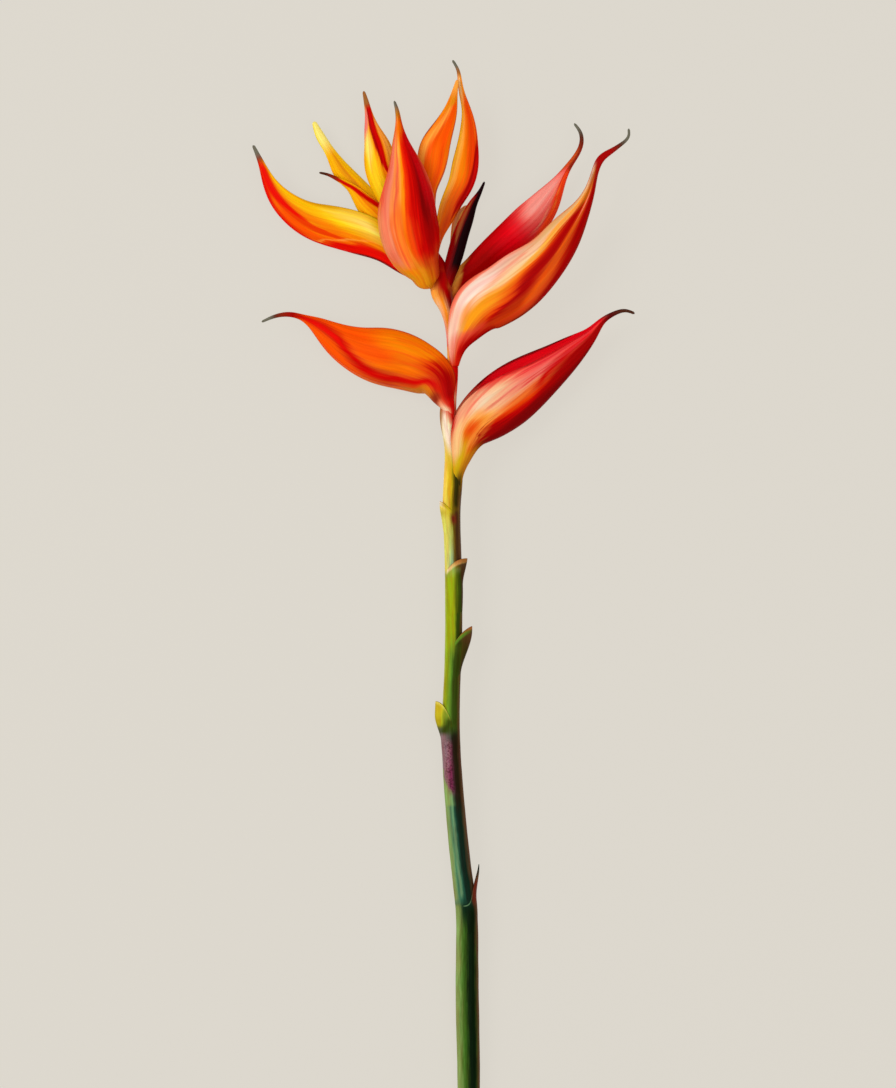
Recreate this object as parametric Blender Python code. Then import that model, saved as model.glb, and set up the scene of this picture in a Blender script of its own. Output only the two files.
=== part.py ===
"""A cut heliconia flower that lies on a flat surface.

The stem runs along +Y from its cut end to the head, and +Z is up, away from the surface. Every place
below is given in millimetres from the middle of the cut end, with z measured from the surface. At the
end, one empty carries the whole flower so that the world origin is under the middle of its box.
"""

import math

import bmesh
import bpy
from mathutils import Vector

MM = 0.001

# Walls, gaps and facets
BRACT_WALL = 1.2
FLORET_WALL = 0.9
SEAT_GAP = 0.3
SOLID_SHARE = 0.9
LEAST_DEPTH = 0.6
KEEL_RIDGE = 0.07
KEEL_SPREAD = 0.3
STEM_SIDES = 12
SCALE_SIDES = 8
STEM_STEPS = 2
BRACT_STEPS = 2
BRACT_ARC_POINTS = 8
FLORET_ARC_POINTS = 6

# The peduncle and the zigzag rachis: x, y, z of the axis and the radius
STEM = [
    (0.0, 0.0, 5.8, 6.1),
    (0.0, 25.5, 5.8, 6.1),
    (-0.5, 61.0, 6.6, 6.4),
    (-1.0, 105.0, 8.0, 6.2),
    (-1.5, 132.5, 9.3, 5.9),
    (-3.5, 149.0, 10.2, 5.6),
    (-6.5, 176.5, 11.8, 5.4),
    (-9.0, 207.0, 13.2, 5.2),
    (-10.0, 229.0, 14.2, 5.4),
    (-9.5, 253.5, 15.2, 4.6),
    (-8.5, 281.0, 16.2, 4.8),
    (-8.5, 308.5, 17.0, 4.8),
    (-9.0, 333.5, 18.0, 4.6),
    (-9.5, 355.5, 19.0, 5.1),
    (-8.5, 374.5, 20.0, 5.1),
    (-9.5, 391.0, 20.6, 4.5),
    (-11.5, 406.5, 21.0, 4.6),
    (-10.0, 418.5, 21.0, 3.5),
    (-9.0, 432.5, 21.0, 3.0),
    (-10.0, 449.0, 21.0, 2.6),
    (-12.5, 464.5, 21.0, 3.7),
    (-15.7, 473.5, 20.8, 5.2),
    (-17.0, 484.5, 20.5, 3.7),
    (-20.0, 494.5, 20.0, 2.5),
    (-21.5, 499.0, 19.8, 1.4),
]

# The small scales on the peduncle, each from its root inside the stem to its free tip
STEM_SCALES = {
    "top_collar": [
        (-10.5, 347.0, 19.4, 3.0),
        (-12.5, 353.0, 19.8, 3.2),
        (-14.0, 357.5, 19.6, 1.8),
        (-14.5, 360.5, 19.4, 0.6),
    ],
    "upper_sheath": [
        (-8.0, 301.0, 17.6, 4.8),
        (-6.5, 310.0, 18.6, 4.8),
        (-5.0, 318.0, 19.2, 4.0),
        (-2.5, 322.5, 18.8, 2.2),
        (-0.5, 325.5, 18.4, 0.6),
    ],
    "right_scale": [
        (-6.5, 269.0, 16.0, 4.2),
        (-4.5, 275.5, 17.0, 3.6),
        (-2.0, 281.0, 17.4, 2.6),
        (0.0, 285.5, 17.2, 1.6),
        (1.2, 289.0, 17.0, 0.6),
    ],
    "left_bud": [
        (-12.5, 225.0, 14.4, 3.0),
        (-14.5, 233.0, 15.4, 3.4),
        (-15.7, 240.0, 16.0, 3.1),
        (-16.2, 245.0, 15.9, 2.2),
        (-16.0, 248.5, 15.7, 1.2),
        (-15.6, 250.5, 15.6, 0.5),
    ],
    "thin_spike": [
        (-0.8, 134.5, 9.6, 3.0),
        (1.0, 141.0, 10.6, 2.4),
        (2.7, 147.0, 11.0, 1.6),
        (3.9, 151.5, 11.2, 1.0),
        (5.2, 157.0, 11.4, 0.5),
    ],
}

# Each bract or floret is a folded boat on stations of x, y, z and half its width as seen from above.
# mouth: +1 where it opens to the left of its growth, -1 to the right. roll turns the keel up.
# depth is its half thickness as a share of its half width. near and far are the two walls' wraps.
PIECES = {
    "bract_low_right": {
        "stations": [
            (-6.6, 362.5, 20.5, 2.2),
            (-6.0, 372.5, 20.5, 3.9),
            (-5.0, 381.5, 20.0, 6.0),
            (-1.0, 394.0, 18.0, 9.6),
            (7.2, 403.0, 15.0, 14.3),
            (18.4, 411.5, 13.0, 16.5),
            (33.2, 423.5, 11.8, 14.6),
            (47.0, 433.5, 13.0, 10.5),
            (59.0, 443.0, 15.0, 6.4),
            (67.5, 450.0, 17.0, 3.9),
            (73.5, 457.0, 19.0, 1.9),
            (80.0, 460.5, 20.5, 1.1),
            (86.0, 462.0, 21.0, 0.8),
            (91.0, 460.5, 20.5, 0.6),
        ],
        "mouth": 1, "roll": 8, "depth": 0.82, "near": 100, "far": 112,
        "colour": (0.80, 0.10, 0.06),
    },
    "bract_low_left": {
        "stations": [
            (-10.2, 402.0, 22.5, 1.6),
            (-11.3, 408.5, 22.8, 3.3),
            (-13.0, 414.5, 22.6, 5.5),
            (-16.8, 423.5, 19.5, 10.2),
            (-26.5, 431.0, 15.0, 13.8),
            (-38.0, 435.0, 12.0, 15.7),
            (-50.0, 438.5, 11.4, 14.9),
            (-62.5, 441.5, 12.4, 12.4),
            (-75.0, 447.0, 14.5, 8.5),
            (-84.5, 454.0, 16.5, 4.4),
            (-91.5, 458.0, 18.0, 2.1),
            (-98.0, 460.0, 19.0, 1.3),
            (-105.0, 459.5, 19.5, 1.0),
            (-114.0, 456.0, 19.5, 0.6),
        ],
        "mouth": -1, "roll": 38, "depth": 0.82, "near": 105, "far": 100,
        "colour": (0.90, 0.24, 0.01),
    },
    "bract_mid_right": {
        "stations": [
            (-7.4, 431.5, 24.0, 1.8),
            (-7.4, 436.0, 24.2, 3.2),
            (-7.2, 442.0, 24.6, 5.0),
            (-2.8, 452.5, 26.0, 10.7),
            (5.0, 463.5, 27.0, 14.5),
            (17.5, 472.0, 28.0, 16.5),
            (30.5, 480.0, 28.0, 15.1),
            (43.0, 491.0, 28.0, 12.7),
            (53.5, 505.0, 28.0, 9.4),
            (61.0, 517.0, 28.0, 5.8),
            (66.0, 528.5, 28.0, 3.1),
            (69.5, 539.0, 28.0, 1.9),
            (72.0, 545.5, 28.5, 1.9),
            (77.5, 549.5, 29.0, 1.4),
            (83.5, 553.0, 29.5, 0.9),
            (87.5, 557.5, 30.0, 0.7),
            (87.5, 561.5, 30.0, 0.6),
        ],
        "mouth": 1, "roll": 20, "depth": 0.70, "near": 112, "far": 108,
        "colour": (0.90, 0.25, 0.05),
    },
    "bract_back_right": {
        "stations": [
            (-12.5, 467.5, 20.0, 2.2),
            (-6.0, 478.5, 15.0, 4.7),
            (3.0, 485.5, 11.5, 6.9),
            (13.0, 494.5, 9.5, 8.2),
            (24.0, 504.5, 7.7, 9.4),
            (35.0, 515.5, 7.4, 9.1),
            (44.5, 525.5, 9.0, 6.9),
            (50.5, 535.0, 10.0, 3.7),
            (55.0, 542.0, 11.0, 2.2),
            (59.5, 548.5, 12.0, 1.6),
            (62.0, 554.5, 13.0, 1.1),
            (61.5, 560.5, 14.0, 0.9),
            (58.0, 565.5, 15.0, 0.6),
        ],
        "mouth": 1, "roll": 25, "depth": 0.90, "near": 108, "far": 104,
        "colour": (0.80, 0.08, 0.09),
    },
    "bract_left": {
        "stations": [
            (-15.5, 473.0, 20.0, 2.8),
            (-24.0, 480.0, 18.0, 4.8),
            (-33.5, 488.5, 14.0, 7.2),
            (-44.5, 497.0, 11.0, 9.6),
            (-58.0, 504.0, 8.4, 11.0),
            (-71.5, 508.0, 8.2, 11.6),
            (-85.0, 512.0, 8.0, 10.2),
            (-97.0, 518.0, 9.6, 8.0),
            (-105.5, 526.0, 11.0, 5.7),
            (-111.0, 535.0, 12.5, 3.3),
            (-114.5, 543.5, 13.5, 1.7),
            (-119.0, 553.5, 14.5, 0.7),
        ],
        "mouth": -1, "roll": 8, "depth": 0.80, "near": 108, "far": 104,
        "colour": (0.90, 0.20, 0.01),
    },
    "bract_front": {
        "stations": [
            (-14.3, 466.0, 24.0, 1.4),
            (-16.8, 472.0, 26.5, 4.4),
            (-21.5, 479.5, 29.5, 7.7),
            (-27.5, 489.0, 33.0, 12.4),
            (-31.5, 501.0, 35.5, 16.2),
            (-33.5, 513.0, 36.5, 16.2),
            (-34.0, 526.0, 36.5, 14.3),
            (-35.0, 539.5, 36.0, 9.9),
            (-37.0, 553.5, 35.0, 5.3),
            (-38.5, 564.5, 34.0, 2.3),
            (-39.5, 571.5, 33.5, 1.1),
            (-41.0, 576.5, 33.0, 0.6),
        ],
        "mouth": -1, "roll": 90, "depth": 0.55, "near": 92, "far": 92,
        "colour": (0.85, 0.12, 0.03),
    },
    "bract_back_left": {
        "stations": [
            (-19.5, 488.0, 21.0, 1.7),
            (-27.0, 495.5, 22.0, 2.5),
            (-33.5, 506.5, 22.0, 4.4),
            (-39.5, 518.5, 21.5, 6.6),
            (-44.5, 529.5, 21.0, 8.2),
            (-48.5, 541.0, 20.5, 8.8),
            (-50.5, 552.0, 20.0, 7.3),
            (-52.5, 561.5, 19.5, 5.3),
            (-54.5, 570.0, 19.5, 2.9),
            (-56.5, 577.0, 19.0, 1.4),
            (-58.0, 583.0, 18.5, 0.7),
        ],
        "mouth": -1, "roll": 60, "depth": 0.55, "near": 100, "far": 100,
        "colour": (0.90, 0.40, 0.01),
    },
    "bract_top_left": {
        "stations": [
            (-20.8, 493.5, 21.0, 1.3),
            (-23.0, 504.0, 22.0, 2.8),
            (-23.5, 516.5, 22.0, 4.7),
            (-22.5, 528.5, 22.0, 6.6),
            (-20.5, 539.5, 22.0, 8.1),
            (-18.5, 550.5, 22.0, 8.4),
            (-15.0, 561.5, 22.0, 6.9),
            (-11.5, 571.5, 21.8, 4.6),
            (-8.5, 579.5, 21.5, 2.1),
            (-6.5, 589.0, 21.3, 0.7),
        ],
        "mouth": -1, "roll": 30, "depth": 0.50, "near": 95, "far": 95,
        "colour": (0.90, 0.20, 0.01),
    },
    "bract_top_right": {
        "stations": [
            (-18.5, 491.5, 18.5, 1.4),
            (-15.5, 502.0, 17.5, 2.5),
            (-13.0, 513.0, 16.5, 4.4),
            (-9.5, 523.0, 16.5, 6.3),
            (-5.5, 532.5, 16.5, 7.4),
            (-3.0, 542.5, 16.5, 7.7),
            (-1.0, 553.5, 16.5, 6.7),
            (-0.5, 564.5, 17.0, 5.2),
            (-1.0, 573.5, 17.5, 3.5),
            (-3.5, 582.5, 18.0, 1.9),
            (-5.0, 589.0, 18.5, 1.1),
            (-6.0, 594.5, 19.0, 0.8),
            (-9.0, 600.0, 19.5, 0.6),
        ],
        "mouth": 1, "roll": 20, "depth": 0.50, "near": 95, "far": 95,
        "colour": (0.90, 0.26, 0.01),
    },
    "floret_yellow": {
        "stations": [
            (-18.0, 477.0, 18.5, 0.9),
            (-25.0, 483.5, 16.0, 1.3),
            (-31.5, 490.5, 13.0, 2.2),
            (-37.0, 499.0, 10.0, 3.4),
            (-43.5, 507.5, 8.0, 5.2),
            (-50.5, 517.0, 7.0, 6.6),
            (-57.0, 524.5, 6.8, 6.8),
            (-64.0, 532.0, 6.8, 5.9),
            (-69.5, 539.0, 7.2, 4.7),
            (-73.5, 545.0, 7.5, 3.5),
            (-78.0, 551.5, 7.8, 2.7),
            (-82.0, 559.0, 8.0, 2.2),
            (-85.0, 565.5, 8.2, 1.0),
        ],
        "mouth": -1, "roll": 90, "depth": 0.48, "near": 120, "far": 120,
        "colour": (0.95, 0.55, 0.03),
    },
    "floret_red": {
        "stations": [
            (-18.5, 478.0, 20.2, 0.9),
            (-25.0, 483.5, 18.7, 1.1),
            (-31.5, 491.5, 16.6, 2.0),
            (-37.5, 499.0, 14.8, 3.3),
            (-44.5, 507.0, 13.4, 5.5),
            (-51.5, 515.0, 13.0, 6.6),
            (-58.5, 521.5, 13.0, 6.1),
            (-64.0, 527.5, 13.0, 4.4),
            (-69.0, 532.5, 13.2, 2.2),
            (-73.5, 535.5, 13.6, 1.1),
            (-78.0, 537.5, 14.0, 0.8),
            (-82.5, 538.5, 14.3, 0.6),
        ],
        "mouth": -1, "roll": 90, "depth": 0.28, "near": 110, "far": 110,
        "colour": (0.40, 0.02, 0.01),
    },
    "floret_dark": {
        "stations": [
            (-13.0, 473.5, 23.0, 1.5),
            (-10.0, 481.5, 23.0, 2.3),
            (-8.0, 490.5, 22.5, 3.2),
            (-6.5, 498.5, 22.0, 4.0),
            (-4.0, 505.5, 21.5, 4.2),
            (-1.0, 513.0, 21.5, 3.6),
            (2.0, 520.5, 21.5, 2.5),
            (6.0, 527.5, 21.5, 1.2),
            (8.5, 533.0, 21.5, 0.6),
        ],
        "mouth": 1, "roll": 70, "depth": 0.70, "near": 140, "far": 140,
        "colour": (0.06, 0.005, 0.005),
    },
    "floret_amber": {
        "stations": [
            (-14.0, 475.5, 18.0, 1.2),
            (-11.0, 483.5, 15.0, 1.6),
            (-10.0, 491.0, 13.6, 2.0),
            (-8.5, 499.0, 12.6, 2.5),
            (-6.5, 507.5, 12.0, 3.4),
            (-4.0, 515.0, 11.8, 2.8),
            (-1.0, 520.0, 11.6, 0.9),
        ],
        "mouth": 1, "roll": 70, "depth": 0.55, "near": 140, "far": 140,
        "colour": (0.80, 0.25, 0.02),
    },
}


def clear_scene():
    """Remove whatever the scene holds."""
    for item in list(bpy.data.objects):
        bpy.data.objects.remove(item, do_unlink=True)


def make_material(name, colour, roughness=0.38):
    """A waxy plant skin of one colour."""
    material = bpy.data.materials.new(name)
    material.use_nodes = True
    shader = material.node_tree.nodes["Principled BSDF"]
    shader.inputs["Base Color"].default_value = (*colour, 1.0)
    shader.inputs["Roughness"].default_value = roughness
    shader.inputs["Metallic"].default_value = 0.0
    return material


def smooth_stations(stations, steps):
    """A smooth curve through the stations, with the given number of steps between two of them."""
    points = [Vector(station) for station in stations]
    points = [points[0] * 2 - points[1]] + points + [points[-1] * 2 - points[-2]]
    smooth = []
    for a, b, c, d in zip(points, points[1:], points[2:], points[3:]):
        for step in range(steps):
            t = step / steps
            smooth.append(0.5 * (2 * b + (c - a) * t + (2 * a - 5 * b + 4 * c - d) * t ** 2
                                 + (3 * b - a - 3 * c + d) * t ** 3))
    smooth.append(points[-2])
    return smooth


def section_axes(curve, index):
    """The direction of growth at a station, the side way to its left and the way up."""
    ahead = curve[min(index + 1, len(curve) - 1)].to_3d()
    behind = curve[max(index - 1, 0)].to_3d()
    along = (ahead - behind).normalized()
    left = Vector((0, 0, 1)).cross(along).normalized()
    return along, left, along.cross(left).normalized()


def mesh_object(name, points, faces):
    """An object from points in millimetres and faces, with its faces turned outwards."""
    build = bmesh.new()
    corners = [build.verts.new(point * MM) for point in points]
    for face in faces:
        build.faces.new([corners[i] for i in face])
    bmesh.ops.recalc_face_normals(build, faces=build.faces)
    bmesh.ops.triangulate(build, faces=build.faces)
    mesh = bpy.data.meshes.new(name)
    build.to_mesh(mesh)
    build.free()
    mesh.shade_smooth()
    item = bpy.data.objects.new(name, mesh)
    bpy.context.collection.objects.link(item)
    return item


def loft(name, rings):
    """A closed skin over rings of equally many points, each ring a closed loop."""
    count = len(rings[0])
    points = [point for ring in rings for point in ring]
    faces = []
    for row in range(len(rings) - 1):
        for i in range(count):
            j = (i + 1) % count
            faces.append((row * count + i, row * count + j, (row + 1) * count + j, (row + 1) * count + i))
    last = (len(rings) - 1) * count
    for i in range(count // 2 - 1):
        for start in (0, last):
            faces.append((start + i, start + i + 1, start + count - 2 - i, start + count - 1 - i))
    return mesh_object(name, points, faces)


def round_stem(name, stations, sides, steps, grow=0.0):
    """A round shoot along its stations, which lies no lower than the surface."""
    curve = smooth_stations(stations, steps)
    rings = []
    for index, station in enumerate(curve):
        along, left, up = section_axes(curve, index)
        radius = station[3] + grow
        centre = station.to_3d()
        if index == len(curve) - 1:
            centre += along * grow
        ring = []
        for i in range(sides):
            turn = 2 * math.pi * (i + 0.5) / sides
            point = centre + (left * math.cos(turn) + up * math.sin(turn)) * radius
            point.z = max(point.z, -grow)
            ring.append(point)
        rings.append(ring)
    return loft(name, rings)


def folded_section(piece, count):
    """The outer arc of a boat's cross-section, in a box from -1 to 1: across the width, and up."""
    arc = []
    for i in range(count):
        turn = math.radians(-piece["far"] + (piece["near"] + piece["far"]) * i / (count - 1))
        reach = 1 + KEEL_RIDGE * math.exp(-(turn / KEEL_SPREAD) ** 2)
        roll = math.radians(piece["roll"])
        across = -math.cos(turn) * reach
        up = math.sin(turn) * reach
        arc.append((across * math.cos(roll) + up * math.sin(roll),
                    up * math.cos(roll) - across * math.sin(roll)))
    low = [min(point[axis] for point in arc) for axis in (0, 1)]
    high = [max(point[axis] for point in arc) for axis in (0, 1)]
    return [tuple(2 * (point[axis] - low[axis]) / (high[axis] - low[axis]) - 1 for axis in (0, 1))
            for point in arc]


def folded_boat(name, piece, arc_points, steps, wall):
    """A bract or floret: a leaf folded along its keel, open along its mouth, solid in its tail."""
    curve = smooth_stations(piece["stations"], steps)
    section = folded_section(piece, arc_points)
    rings = []
    for index, station in enumerate(curve):
        along, left, up = section_axes(curve, index)
        centre = station.to_3d()
        half_width = station[3]
        half_depth = max(half_width * piece["depth"], LEAST_DEPTH)
        outer = [centre + left * (piece["mouth"] * across * half_width) + up * (rise * half_depth)
                 for across, rise in section]
        middle = (outer[0] + outer[-1]) / 2
        inner = []
        for point in outer:
            inward = middle - point
            share = min(wall / max(inward.length, wall), SOLID_SHARE)
            inner.append(point + inward * share)
        for point in outer:
            point.z = max(point.z, 0.0)
        for point in inner:
            point.z = max(point.z, wall)
        rings.append(outer + inner[::-1])
    return loft(name, rings)


def cut_clear(item, cutter):
    """Cut a piece back from what it grows on, so that it seats with a thin gap."""
    cut = item.modifiers.new("seat on " + cutter.name, "BOOLEAN")
    cut.operation = "DIFFERENCE"
    cut.solver = "EXACT"
    cut.object = cutter


def as_cutter(item):
    """Keep an object as a guide only."""
    item.hide_render = True
    item.display_type = "WIRE"
    return item


def make_stem():
    """The peduncle and rachis, with the small scales joined to it."""
    stem = round_stem("stem", STEM, STEM_SIDES, STEM_STEPS)
    stem.data.materials.append(make_material("green_shoot", (0.10, 0.22, 0.05), 0.45))
    scales = bpy.data.collections.new("stem_scales")
    bpy.context.scene.collection.children.link(scales)
    for name, stations in STEM_SCALES.items():
        scale = round_stem("scale_" + name, stations, SCALE_SIDES, 1)
        bpy.context.collection.objects.unlink(scale)
        scales.objects.link(scale)
    join = stem.modifiers.new("scales", "BOOLEAN")
    join.operation = "UNION"
    join.solver = "EXACT"
    join.operand_type = "COLLECTION"
    join.collection = scales
    bpy.context.view_layer.update()
    joined = bpy.data.meshes.new_from_object(stem.evaluated_get(bpy.context.evaluated_depsgraph_get()))
    stem.modifiers.clear()
    stem.data = joined
    for scale in list(scales.objects):
        bpy.data.objects.remove(scale, do_unlink=True)
    bpy.data.collections.remove(scales)
    return stem


def centre_on_origin(items):
    """Carry the flower on an empty, so that the origin is under the middle of its box."""
    bpy.context.view_layer.update()
    graph = bpy.context.evaluated_depsgraph_get()
    corners = []
    for item in items:
        shape = item.evaluated_get(graph)
        corners += [shape.matrix_world @ Vector(corner) for corner in shape.bound_box]
    low = [min(corner[axis] for corner in corners) for axis in range(3)]
    high = [max(corner[axis] for corner in corners) for axis in range(3)]
    carrier = bpy.data.objects.new("flower", None)
    bpy.context.collection.objects.link(carrier)
    for item in bpy.data.objects:
        if item.type == "MESH":
            item.parent = carrier
    carrier.location = (-(low[0] + high[0]) / 2, -(low[1] + high[1]) / 2, -low[2])


def main():
    clear_scene()
    stem = make_stem()
    stem_room = as_cutter(round_stem("stem_room", STEM, STEM_SIDES, STEM_STEPS, SEAT_GAP))
    items = [stem]
    for name, piece in PIECES.items():
        is_bract = name.startswith("bract")
        arc_points = BRACT_ARC_POINTS if is_bract else FLORET_ARC_POINTS
        wall = BRACT_WALL if is_bract else FLORET_WALL
        item = folded_boat(name, piece, arc_points, BRACT_STEPS, wall)
        item.data.materials.append(make_material(name + "_skin", piece["colour"]))
        cut_clear(item, stem_room)
        items.append(item)
    centre_on_origin(items)


main()
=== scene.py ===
# %% [markdown]
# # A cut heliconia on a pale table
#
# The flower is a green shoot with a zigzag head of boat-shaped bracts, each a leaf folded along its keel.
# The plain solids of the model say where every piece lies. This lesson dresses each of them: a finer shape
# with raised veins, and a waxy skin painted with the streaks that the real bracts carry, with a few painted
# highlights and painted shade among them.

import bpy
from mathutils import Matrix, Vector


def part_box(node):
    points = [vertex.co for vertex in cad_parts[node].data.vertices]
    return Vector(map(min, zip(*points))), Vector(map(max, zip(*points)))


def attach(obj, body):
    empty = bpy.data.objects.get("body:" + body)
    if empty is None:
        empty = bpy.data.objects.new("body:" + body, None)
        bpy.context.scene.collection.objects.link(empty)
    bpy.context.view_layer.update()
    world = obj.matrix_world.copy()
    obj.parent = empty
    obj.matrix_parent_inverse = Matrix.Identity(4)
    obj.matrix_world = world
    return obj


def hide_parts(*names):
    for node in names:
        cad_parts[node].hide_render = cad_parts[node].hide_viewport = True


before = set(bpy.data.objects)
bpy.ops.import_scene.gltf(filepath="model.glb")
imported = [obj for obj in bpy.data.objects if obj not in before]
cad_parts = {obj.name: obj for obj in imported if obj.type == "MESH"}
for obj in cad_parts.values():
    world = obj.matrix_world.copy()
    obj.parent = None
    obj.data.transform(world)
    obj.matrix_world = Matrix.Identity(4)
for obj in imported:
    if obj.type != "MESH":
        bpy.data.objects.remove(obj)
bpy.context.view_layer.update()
print("solids to dress:", ", ".join(sorted(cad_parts)))

# %% [markdown]
# Blender works in metres, and a flower is easier to think of in millimetres. The stations below are
# measured from the middle of the stem's cut end, so one vector carries them into the frame. It comes from
# the stem's own solid: its lowest Y is the cut end, and its right side there is one stem radius away.

# %% Units and the place of the cut end
import math

import bmesh
import bpy
import numpy as np
from mathutils import Vector

MM = 0.001
STEM_EDGE = 5.9
stem_low, stem_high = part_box("stem")
CUT_END = np.array([stem_high.x - STEM_EDGE * MM, stem_low.y, 0.0])
print("cut end at", [round(float(value) / MM, 1) for value in CUT_END], "mm")

# %% [markdown]
# A leaf has no straight edges. A natural cubic spline through a few stations bends as evenly as a thin
# strip of wood would, so its highlights run without kinks. It carries x, y, z and the half width together.

# %% A smooth path through stations


def smooth_path(stations, rows):
    """Rows of x, y, z and half width, evenly spaced along a natural cubic spline."""
    knots = np.array(stations)
    gaps = np.linalg.norm(np.diff(knots[:, :3], axis=0), axis=1)
    reach = np.concatenate([[0.0], np.cumsum(gaps)])
    count = len(knots)
    weights = np.eye(count)
    pulls = np.zeros_like(knots)
    for i in range(1, count - 1):
        weights[i, i - 1:i + 2] = gaps[i - 1], 2 * (gaps[i - 1] + gaps[i]), gaps[i]
        pulls[i] = 6 * ((knots[i + 1] - knots[i]) / gaps[i] - (knots[i] - knots[i - 1]) / gaps[i - 1])
    bends = np.linalg.solve(weights, pulls)
    at = np.linspace(0.0, reach[-1], rows)
    k = np.clip(np.searchsorted(reach, at, side="right") - 1, 0, count - 2)
    gap = gaps[k][:, None]
    a = (reach[k + 1] - at)[:, None] / gap
    b = (at - reach[k])[:, None] / gap
    return a * knots[k] + b * knots[k + 1] + ((a**3 - a) * bends[k] + (b**3 - b) * bends[k + 1]) * gap**2 / 6


def path_length(stations):
    """The length of a path through stations, in millimetres."""
    return float(np.linalg.norm(np.diff(np.array(stations)[:, :3], axis=0), axis=1).sum())


print("spline helpers ready")

# %% [markdown]
# Every piece here is a skin over rings of points. One helper turns the rings into a mesh and stores two
# UV maps on it. "face" is how far along the piece a point is, and how far across it as seen from above.
# "arc" is the same, but measured round the fold. Painted streaks follow the first, and veins the second.

# %% Rings to a mesh


def add_object(name, data=None):
    """A new object in the scene, with an empty mesh where no data is given."""
    item = bpy.data.objects.new(name, data or bpy.data.meshes.new(name))
    bpy.context.scene.collection.objects.link(item)
    return item


def skin_mesh(name, rings, face, arc, inside):
    """A closed object over rings of points, with its UV maps and its inside marked."""
    rows, count = rings.shape[:2]
    grid = np.arange(rows * count).reshape(rows, count)
    following = np.roll(grid, -1, axis=1)
    quads = np.stack([grid[:-1], following[:-1], following[1:], grid[1:]], axis=-1).reshape(-1, 4)
    caps = []
    for i in range(count // 2 - 1):
        caps.append([grid[0, i + 1], grid[0, i], grid[0, count - 1 - i], grid[0, count - 2 - i]])
        caps.append([grid[-1, i], grid[-1, i + 1], grid[-1, count - 2 - i], grid[-1, count - 1 - i]])
    item = add_object(name)
    mesh = item.data
    points = rings.reshape(-1, 3) * MM + CUT_END
    mesh.from_pydata(points.tolist(), [], quads.tolist() + np.array(caps).tolist())
    corners = np.zeros(len(mesh.loops), dtype=np.int32)
    mesh.loops.foreach_get("vertex_index", corners)
    for title, parts in (("face", face), ("arc", arc)):
        uv = np.stack([np.broadcast_to(part, (rows, count)).reshape(-1) for part in parts], axis=1)
        mesh.uv_layers.new(name=title).uv.foreach_set("vector", uv[corners].reshape(-1).astype(np.float32))
    marked = mesh.attributes.new("inside", "FLOAT", "POINT").data
    marked.foreach_set("value", inside.reshape(-1).astype(np.float32))
    build = bmesh.new()
    build.from_mesh(mesh)
    bmesh.ops.recalc_face_normals(build, faces=build.faces)
    build.to_mesh(mesh)
    build.free()
    mesh.shade_smooth()
    return item


print("mesh helpers ready")

# %% [markdown]
# A heliconia bract is a leaf folded along its keel, with both walls curling up to open margins. Its
# cross-section is an arc with a small ridge where it folds. Turned by the roll and stretched to the
# width of its station, the same arc makes every bract. The wall thins towards the margins, which end in
# a round lip, and the tail closes to a solid hook. The margins wave slightly, as a living leaf's do.

# %% The folded boat that every bract is
ROW_SPACING = 0.85
LEAST_HALF_WIDTH = 0.35
LEAST_DEPTH = 0.6
TAIL_SHARE = 0.5
INNER_FLOOR_SHARE = 0.6
MARGIN_WALL_SHARE = 0.55
SOLID_SHARE = 0.9
FLOOR_ROUNDING = 0.15
KEEL_RIDGE = 0.07
KEEL_SPREAD = 0.3
LIP_TURNS = np.radians((45, 90, 135))
MARGIN_WAVE = 0.35
FULL_WAVE_WIDTH = 6.0


def rows_of(text):
    """Rows of numbers, from a text with a comma between rows."""
    return [[float(value) for value in row.split()] for row in text.split(",")]


def growth_axes(centre):
    """The way to the left of a path, seen along its growth, and the way up from it."""
    along = np.gradient(centre, axis=0)
    along /= np.linalg.norm(along, axis=1)[:, None]
    left = np.cross([0.0, 0.0, 1.0], along)
    left /= np.linalg.norm(left, axis=1)[:, None]
    return left, np.cross(along, left)


def folded_arc(piece, along, arc_points):
    """The bract's outer arc for each row, in a box from -1 to 1, and its place round the fold."""
    wraps = [np.interp(along, *zip(*rows_of(piece[wall]))) for wall in ("near", "far")]
    near, far = np.radians(wraps)[..., None]
    turn = -far + (near + far) * np.linspace(0.0, 1.0, arc_points)[None]
    reach = 1 + KEEL_RIDGE * np.exp(-(turn / KEEL_SPREAD) ** 2)
    across, rise = -np.cos(turn) * reach, np.sin(turn) * reach
    roll = math.radians(piece["roll"])
    cosine, sine = math.cos(roll), math.sin(roll)
    box = []
    for side in (across * cosine + rise * sine, rise * cosine - across * sine):
        low, high = side.min(axis=1)[:, None], side.max(axis=1)[:, None]
        box.append(2 * (side - low) / (high - low) - 1)
    return *box, np.where(turn < 0, turn / far, turn / near)


def lip(edge, edge_in, beyond):
    """Points round a margin, from its outer edge to its inner one."""
    middle = (edge + edge_in) / 2
    arm = edge - middle
    out = edge - beyond
    out *= np.linalg.norm(arm, axis=1)[:, None] / np.maximum(np.linalg.norm(out, axis=1)[:, None], 1e-6)
    return np.stack([middle + arm * math.cos(turn) + out * math.sin(turn) for turn in LIP_TURNS], axis=1)


def round_ring(values):
    """One value for each point of a ring, from one for each point of the outer arc."""
    near_lip, far_lip = (np.repeat(edge, len(LIP_TURNS), axis=1) for edge in (values[:, -1:], values[:, :1]))
    return np.concatenate([values, near_lip, values[:, ::-1], far_lip], axis=1)


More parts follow.
